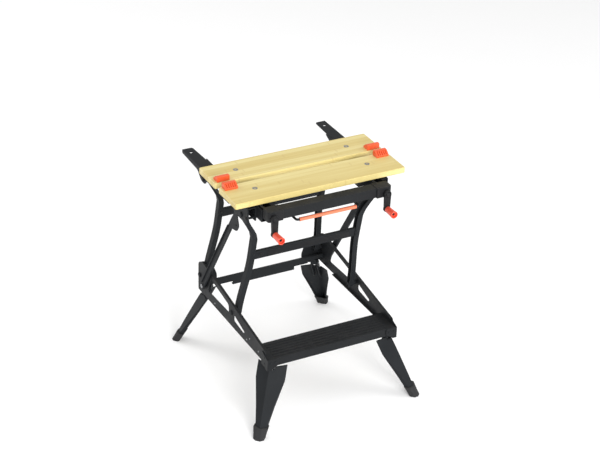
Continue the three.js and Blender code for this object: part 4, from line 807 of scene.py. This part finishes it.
# %% [markdown]
# ## Jaw bolts
# Low-headed bolts hold each jaw to what is below it. A socket could be cut with a
# Boolean modifier. Here the head is a stack of rings instead, and the inner rings
# have a radius that follows a hexagon's sides, so the mesh stays clean.

# %% Jaw bolts
BOLT_X = 203.0
BOLT_RADIUS = 8.5
SOCKET_FLATS = 3.0
SOCKET_DEPTH = 2.2
FRONT_BOLTS_BACK = 10.0


def socket_bolt(shape, centre):
    count = 36
    def ring(radius_at, height):
        return [
            shape.verts.new(Vector(centre) + Vector((
                radius_at(a) * math.cos(a), radius_at(a) * math.sin(a), height
            )))
            for a in (2 * math.pi * i / count for i in range(count))
        ]
    hexagon = lambda a: SOCKET_FLATS / math.cos((a % (math.pi / 3)) - math.pi / 6)
    rings = [
        ring(lambda a: BOLT_RADIUS, -0.4),
        ring(lambda a: BOLT_RADIUS, 0.35),
        ring(lambda a: BOLT_RADIUS - 0.7, 0.75),
        ring(lambda a: hexagon(a) + 0.5, 0.85),
        ring(hexagon, 0.5),
        ring(hexagon, 0.85 - SOCKET_DEPTH),
    ]
    for low_ring, high_ring in zip(rings, rings[1:]):
        for i in range(count):
            j = (i + 1) % count
            shape.faces.new((low_ring[i], low_ring[j], high_ring[j], high_ring[i]))
    shape.faces.new(rings[-1])


for jaw, body, back in (
    ("front_jaw", "front_jaw_carriage", FRONT_BOLTS_BACK), ("rear_jaw", "top", 0.0)
):
    low, high = box_mm(jaw)
    shape = bmesh.new()
    for sign in SIDES.values():
        socket_bolt(shape, (sign * BOLT_X, (low.y + high.y) / 2 + back, high.z))
    finish_piece(f"{jaw}_bolts", shape, body, "plated_steel")
print("bolts", 2 * BOLT_RADIUS, "mm across")

# %% [markdown]
# ## Strut rivets
# The cross plates are riveted to the struts. Each frame leans, so its rivets are
# placed in the frame's own directions: up along the strut, out along X and forward
# across it. They could be turned by hand, but the frame's two pivots give the lean.

# %% Frame directions
def frame_place(row):
    foot = middle_mm(f"{row}_base_pin_right")
    top = middle_mm(f"{row}_top_pin_right")
    foot.x = top.x = 0.0
    lean = Matrix.Rotation(math.atan2(foot.y - top.y, top.z - foot.z), 4, "X")
    return Matrix.Translation(foot) @ lean, (top - foot).length


STRUT_WAIST = 195.0
STRUT_HALF_DEPTH = 10.5
PLATE_FROM_TOP = {"front": 174.0, "rear": 148.0}
PLATE_HEIGHT = 35.0
RIVET_RADIUS = 4.2
RIVET_DOME = 2.0
RIVET_SET_IN = 3.0
RIVET_DROPS = (0.26, 0.74)

for row, from_top in PLATE_FROM_TOP.items():
    place, length = frame_place(row)
    shape = bmesh.new()
    for sign in SIDES.values():
        for drop in RIVET_DROPS:
            for facing in (-1, 1):
                centre = Vector((
                    sign * (STRUT_WAIST - RIVET_SET_IN), facing * STRUT_HALF_DEPTH,
                    length - from_top - drop * PLATE_HEIGHT,
                ))
                domed_head(shape, centre, (0, facing, 0), RIVET_RADIUS, RIVET_DOME)
    shape.transform(place)
    finish_piece(f"{row}_frame_rivets", shape, f"{row}_frame", "black_paint")
print("rivets", 2 * RIVET_RADIUS, "mm across")

# %% [markdown]
# ## Bare plate
# The front cross plate carries a thin raised plate with rounded corners, left
# bare, and a plain ring beside it. A cube with a Bevel modifier has one width for
# all its edges. Rings of points round the outline give the corners and the
# chamfer a size each.

# %% Bare plate
def rounded_slab(shape, half_x, half_z, corner, depth, chamfer, centre):
    steps = 6
    def ring(inset, y):
        points = []
        for quarter, (sx, sz) in enumerate(((1, 1), (-1, 1), (-1, -1), (1, -1))):
            for i in range(steps + 1):
                a = math.pi / 2 * (quarter + i / steps)
                points.append(Vector(centre) + Vector((
                    sx * (half_x - corner) + (corner - inset) * math.cos(a), y,
                    sz * (half_z - corner) + (corner - inset) * math.sin(a),
                )))
        return [shape.verts.new(p) for p in points]
    rings = [ring(0, 0.2), ring(0, chamfer - depth), ring(chamfer, -depth)]
    for back, front in zip(rings, rings[1:]):
        for i in range(len(back)):
            j = (i + 1) % len(back)
            shape.faces.new((back[i], back[j], front[j], front[i]))
    shape.faces.new(rings[-1])


PLATE_FACE = -7.7
PLATE_DEPTH = 0.9
PLATE_HALF_LENGTH = 150.0
PLATE_HALF_HEIGHT = 11.5
PLATE_CORNER = 4.0
PLATE_CHAMFER = 0.4
PLATE_OFFSET = 12.0
RING_X = -162.0
RING_PROFILE = [(0, -0.2), (8.5, -0.2), (8.5, 0.5), (8.0, 0.9), (6.6, 0.9), (6.2, 0.5), (0, 0.5)]
place, length = frame_place("front")
plate_middle = length - PLATE_FROM_TOP["front"] - PLATE_HEIGHT / 2
shape = bmesh.new()
rounded_slab(
    shape, PLATE_HALF_LENGTH, PLATE_HALF_HEIGHT, PLATE_CORNER, PLATE_DEPTH, PLATE_CHAMFER,
    (PLATE_OFFSET, PLATE_FACE, plate_middle),
)
turn(shape, RING_PROFILE, (RING_X, PLATE_FACE, plate_middle), (0, -1, 0), sides=36)
shape.transform(place)
finish_piece("front_bare_plate", shape, "front_frame", "dark_plastic")
print("bare plate", round(2 * PLATE_HALF_LENGTH), "mm long")

# %% [markdown]
# ## Base rivets and stud heads
# Brackets, step and cross member are riveted to the base arms. Each head sits on
# an outer face; the faces' places come from the boxes of the solids. The heads on
# the front brackets are low, because the lock struts fold down past them.

# %% Base rivets
BASE_FACE = 238.0
SIDE_RIVET_RADIUS = 2.8
SIDE_RIVET_DOME = 1.3
LOW_DOME = 0.7
arm_high = box_mm("base_arm_right")[1]
bracket_low, bracket_high = box_mm("front_bracket_right")
side_rivets = [(-140.0, 258.0), (-205.0, 247.0), (241.0, 259.0), (-118.0, 243.0), (130.0, 243.0)]
bracket_rivets = [(-254.0, 231.0), (-254.0, 253.0)]
corner_rivets = [(212.0, 241.0), (230.0, 241.0)]
rear_high = box_mm("rear_bracket_right")[1]
gusset_rivets = [(206.0, 262.0), (222.0, 300.0), (184.0, 262.0)]

shape = bmesh.new()
for sign in SIDES.values():
    for y, z in side_rivets:
        domed_head(shape, (sign * BASE_FACE, y, z), (sign, 0, 0), SIDE_RIVET_RADIUS, SIDE_RIVET_DOME)
finish_piece("side_rivets", shape, "base", "plated_steel")

shape = bmesh.new()
for sign in SIDES.values():
    for y, z in bracket_rivets:
        domed_head(shape, (sign * bracket_high.x, y, z), (sign, 0, 0), RIVET_RADIUS, LOW_DOME)
    for x, z in corner_rivets:
        domed_head(shape, (sign * x, bracket_low.y, z), (0, -1, 0), RIVET_RADIUS, RIVET_DOME)
    for x, z in gusset_rivets:
        domed_head(shape, (sign * x, rear_high.y, z), (0, 1, 0), RIVET_RADIUS, RIVET_DOME)
finish_piece("base_rivets", shape, "base", "black_paint")

STUD_Y = 216.0
STUD_Z = 268.0
STUD_HEAD_RADIUS = 7.6
STUD_DOME = 1.6
shape = bmesh.new()
for sign in SIDES.values():
    domed_head(shape, (sign * arm_high.x, STUD_Y, STUD_Z), (sign, 0, 0), STUD_HEAD_RADIUS, STUD_DOME)
finish_piece("lock_stud_domes", shape, "base", "plated_steel")
rivet_rows = (side_rivets, bracket_rivets, corner_rivets, gusset_rivets)
print("base rivets", 2 * sum(len(row) for row in rivet_rows))

# %% [markdown]
# ## Caps on the top
# The end caps of the beam are screwed on from above with nearly flush heads, so
# that the jaw can slide over them. The bail's wire ends wear push-on caps.

# %% Caps on the top
CAP_SCREW_RADIUS = 3.6
CAP_SCREW_DOME = 0.6
CAP_SCREW_FROM_END = 10.0
CAP_SCREW_FROM_FRONT = 9.0
CAP_SCREW_FROM_BACK = 7.0
BAIL_CAP_RADIUS = 6.8
BAIL_CAP_DOME = 2.6
BAIL_CAP_OVERLAP = 1.4

cap_low, cap_high = box_mm("beam_end_cap_right")
shape = bmesh.new()
for sign in SIDES.values():
    for y in (cap_low.y + CAP_SCREW_FROM_FRONT, cap_high.y - CAP_SCREW_FROM_BACK):
        spot = (sign * (cap_low.x + CAP_SCREW_FROM_END), y, cap_high.z)
        domed_head(shape, spot, (0, 0, 1), CAP_SCREW_RADIUS, CAP_SCREW_DOME)
finish_piece("top_screw_heads", shape, "top", "black_paint")

shape = bmesh.new()
for sign in SIDES.values():
    spot = (sign * (shaft_end - BAIL_CAP_OVERLAP), shaft_y, height)
    domed_head(shape, spot, (sign, 0, 0), BAIL_CAP_RADIUS, BAIL_CAP_DOME)
finish_piece("bail_end_caps", shape, "bail", "dark_plastic")
print("caps on the beam and the bail")

# %% [markdown]
# ## Weld beads
# The frame's plates are welded where they meet. A bead is a thin roll whose
# radius ripples once per drop of weld metal, half sunk into the corner.

# %% Weld beads
BEAD_RADIUS = 2.2
BEAD_RIPPLE = 3.0
BEAD_SIDES = 10
LONG_BEAD = 34
SHORT_BEAD = 22
CORNER_X, CORNER_Y = 235.4, 266.4
CORNER_BEADS_Z = (236.0, 274.0)
STEP_X, STEP_Z = 234.9, 251.0
STEP_BEADS_Y = (-250.0, -205.0)
SIDE_ARM_X, SIDE_ARM_Z = 223.2, 744.6
SIDE_ARM_BEADS_Y = (-138.0, -30.0, 66.0)


def weld_bead(shape, start, end):
    start, end = Vector(start), Vector(end)
    ahead = (end - start).normalized()
    across = ahead.orthogonal().normalized()
    over = ahead.cross(across)
    length = (end - start).length
    count = max(8, round(length / BEAD_RIPPLE * 4))
    rings = []
    for i in range(count + 1):
        t = i / count
        taper = min(1.0, 8 * t + 0.25, 8 * (1 - t) + 0.25)
        radius = BEAD_RADIUS * taper * (1 + 0.1 * math.sin(2 * math.pi * t * length / BEAD_RIPPLE))
        rings.append([
            shape.verts.new(
                start + ahead * length * t + radius * (math.cos(a) * across + math.sin(a) * over)
            )
            for a in (2 * math.pi * k / BEAD_SIDES for k in range(BEAD_SIDES))
        ])
    for near, far in zip(rings, rings[1:]):
        for k in range(BEAD_SIDES):
            j = (k + 1) % BEAD_SIDES
            shape.faces.new((near[k], near[j], far[j], far[k]))
    shape.faces.new(rings[0])
    shape.faces.new(rings[-1])


shape = bmesh.new()
for sign in SIDES.values():
    for z in CORNER_BEADS_Z:
        weld_bead(shape, (sign * CORNER_X, CORNER_Y, z), (sign * CORNER_X, CORNER_Y, z + LONG_BEAD))
    for y in STEP_BEADS_Y:
        weld_bead(shape, (sign * STEP_X, y, STEP_Z), (sign * STEP_X, y + SHORT_BEAD, STEP_Z))
finish_piece("base_welds", shape, "base", "black_paint")

shape = bmesh.new()
for sign in SIDES.values():
    for y in SIDE_ARM_BEADS_Y:
        start = (sign * SIDE_ARM_X, y, SIDE_ARM_Z)
        weld_bead(shape, start, (sign * SIDE_ARM_X, y + LONG_BEAD, SIDE_ARM_Z))
finish_piece("top_welds", shape, "top", "black_paint")
print("welds on the base and the top")
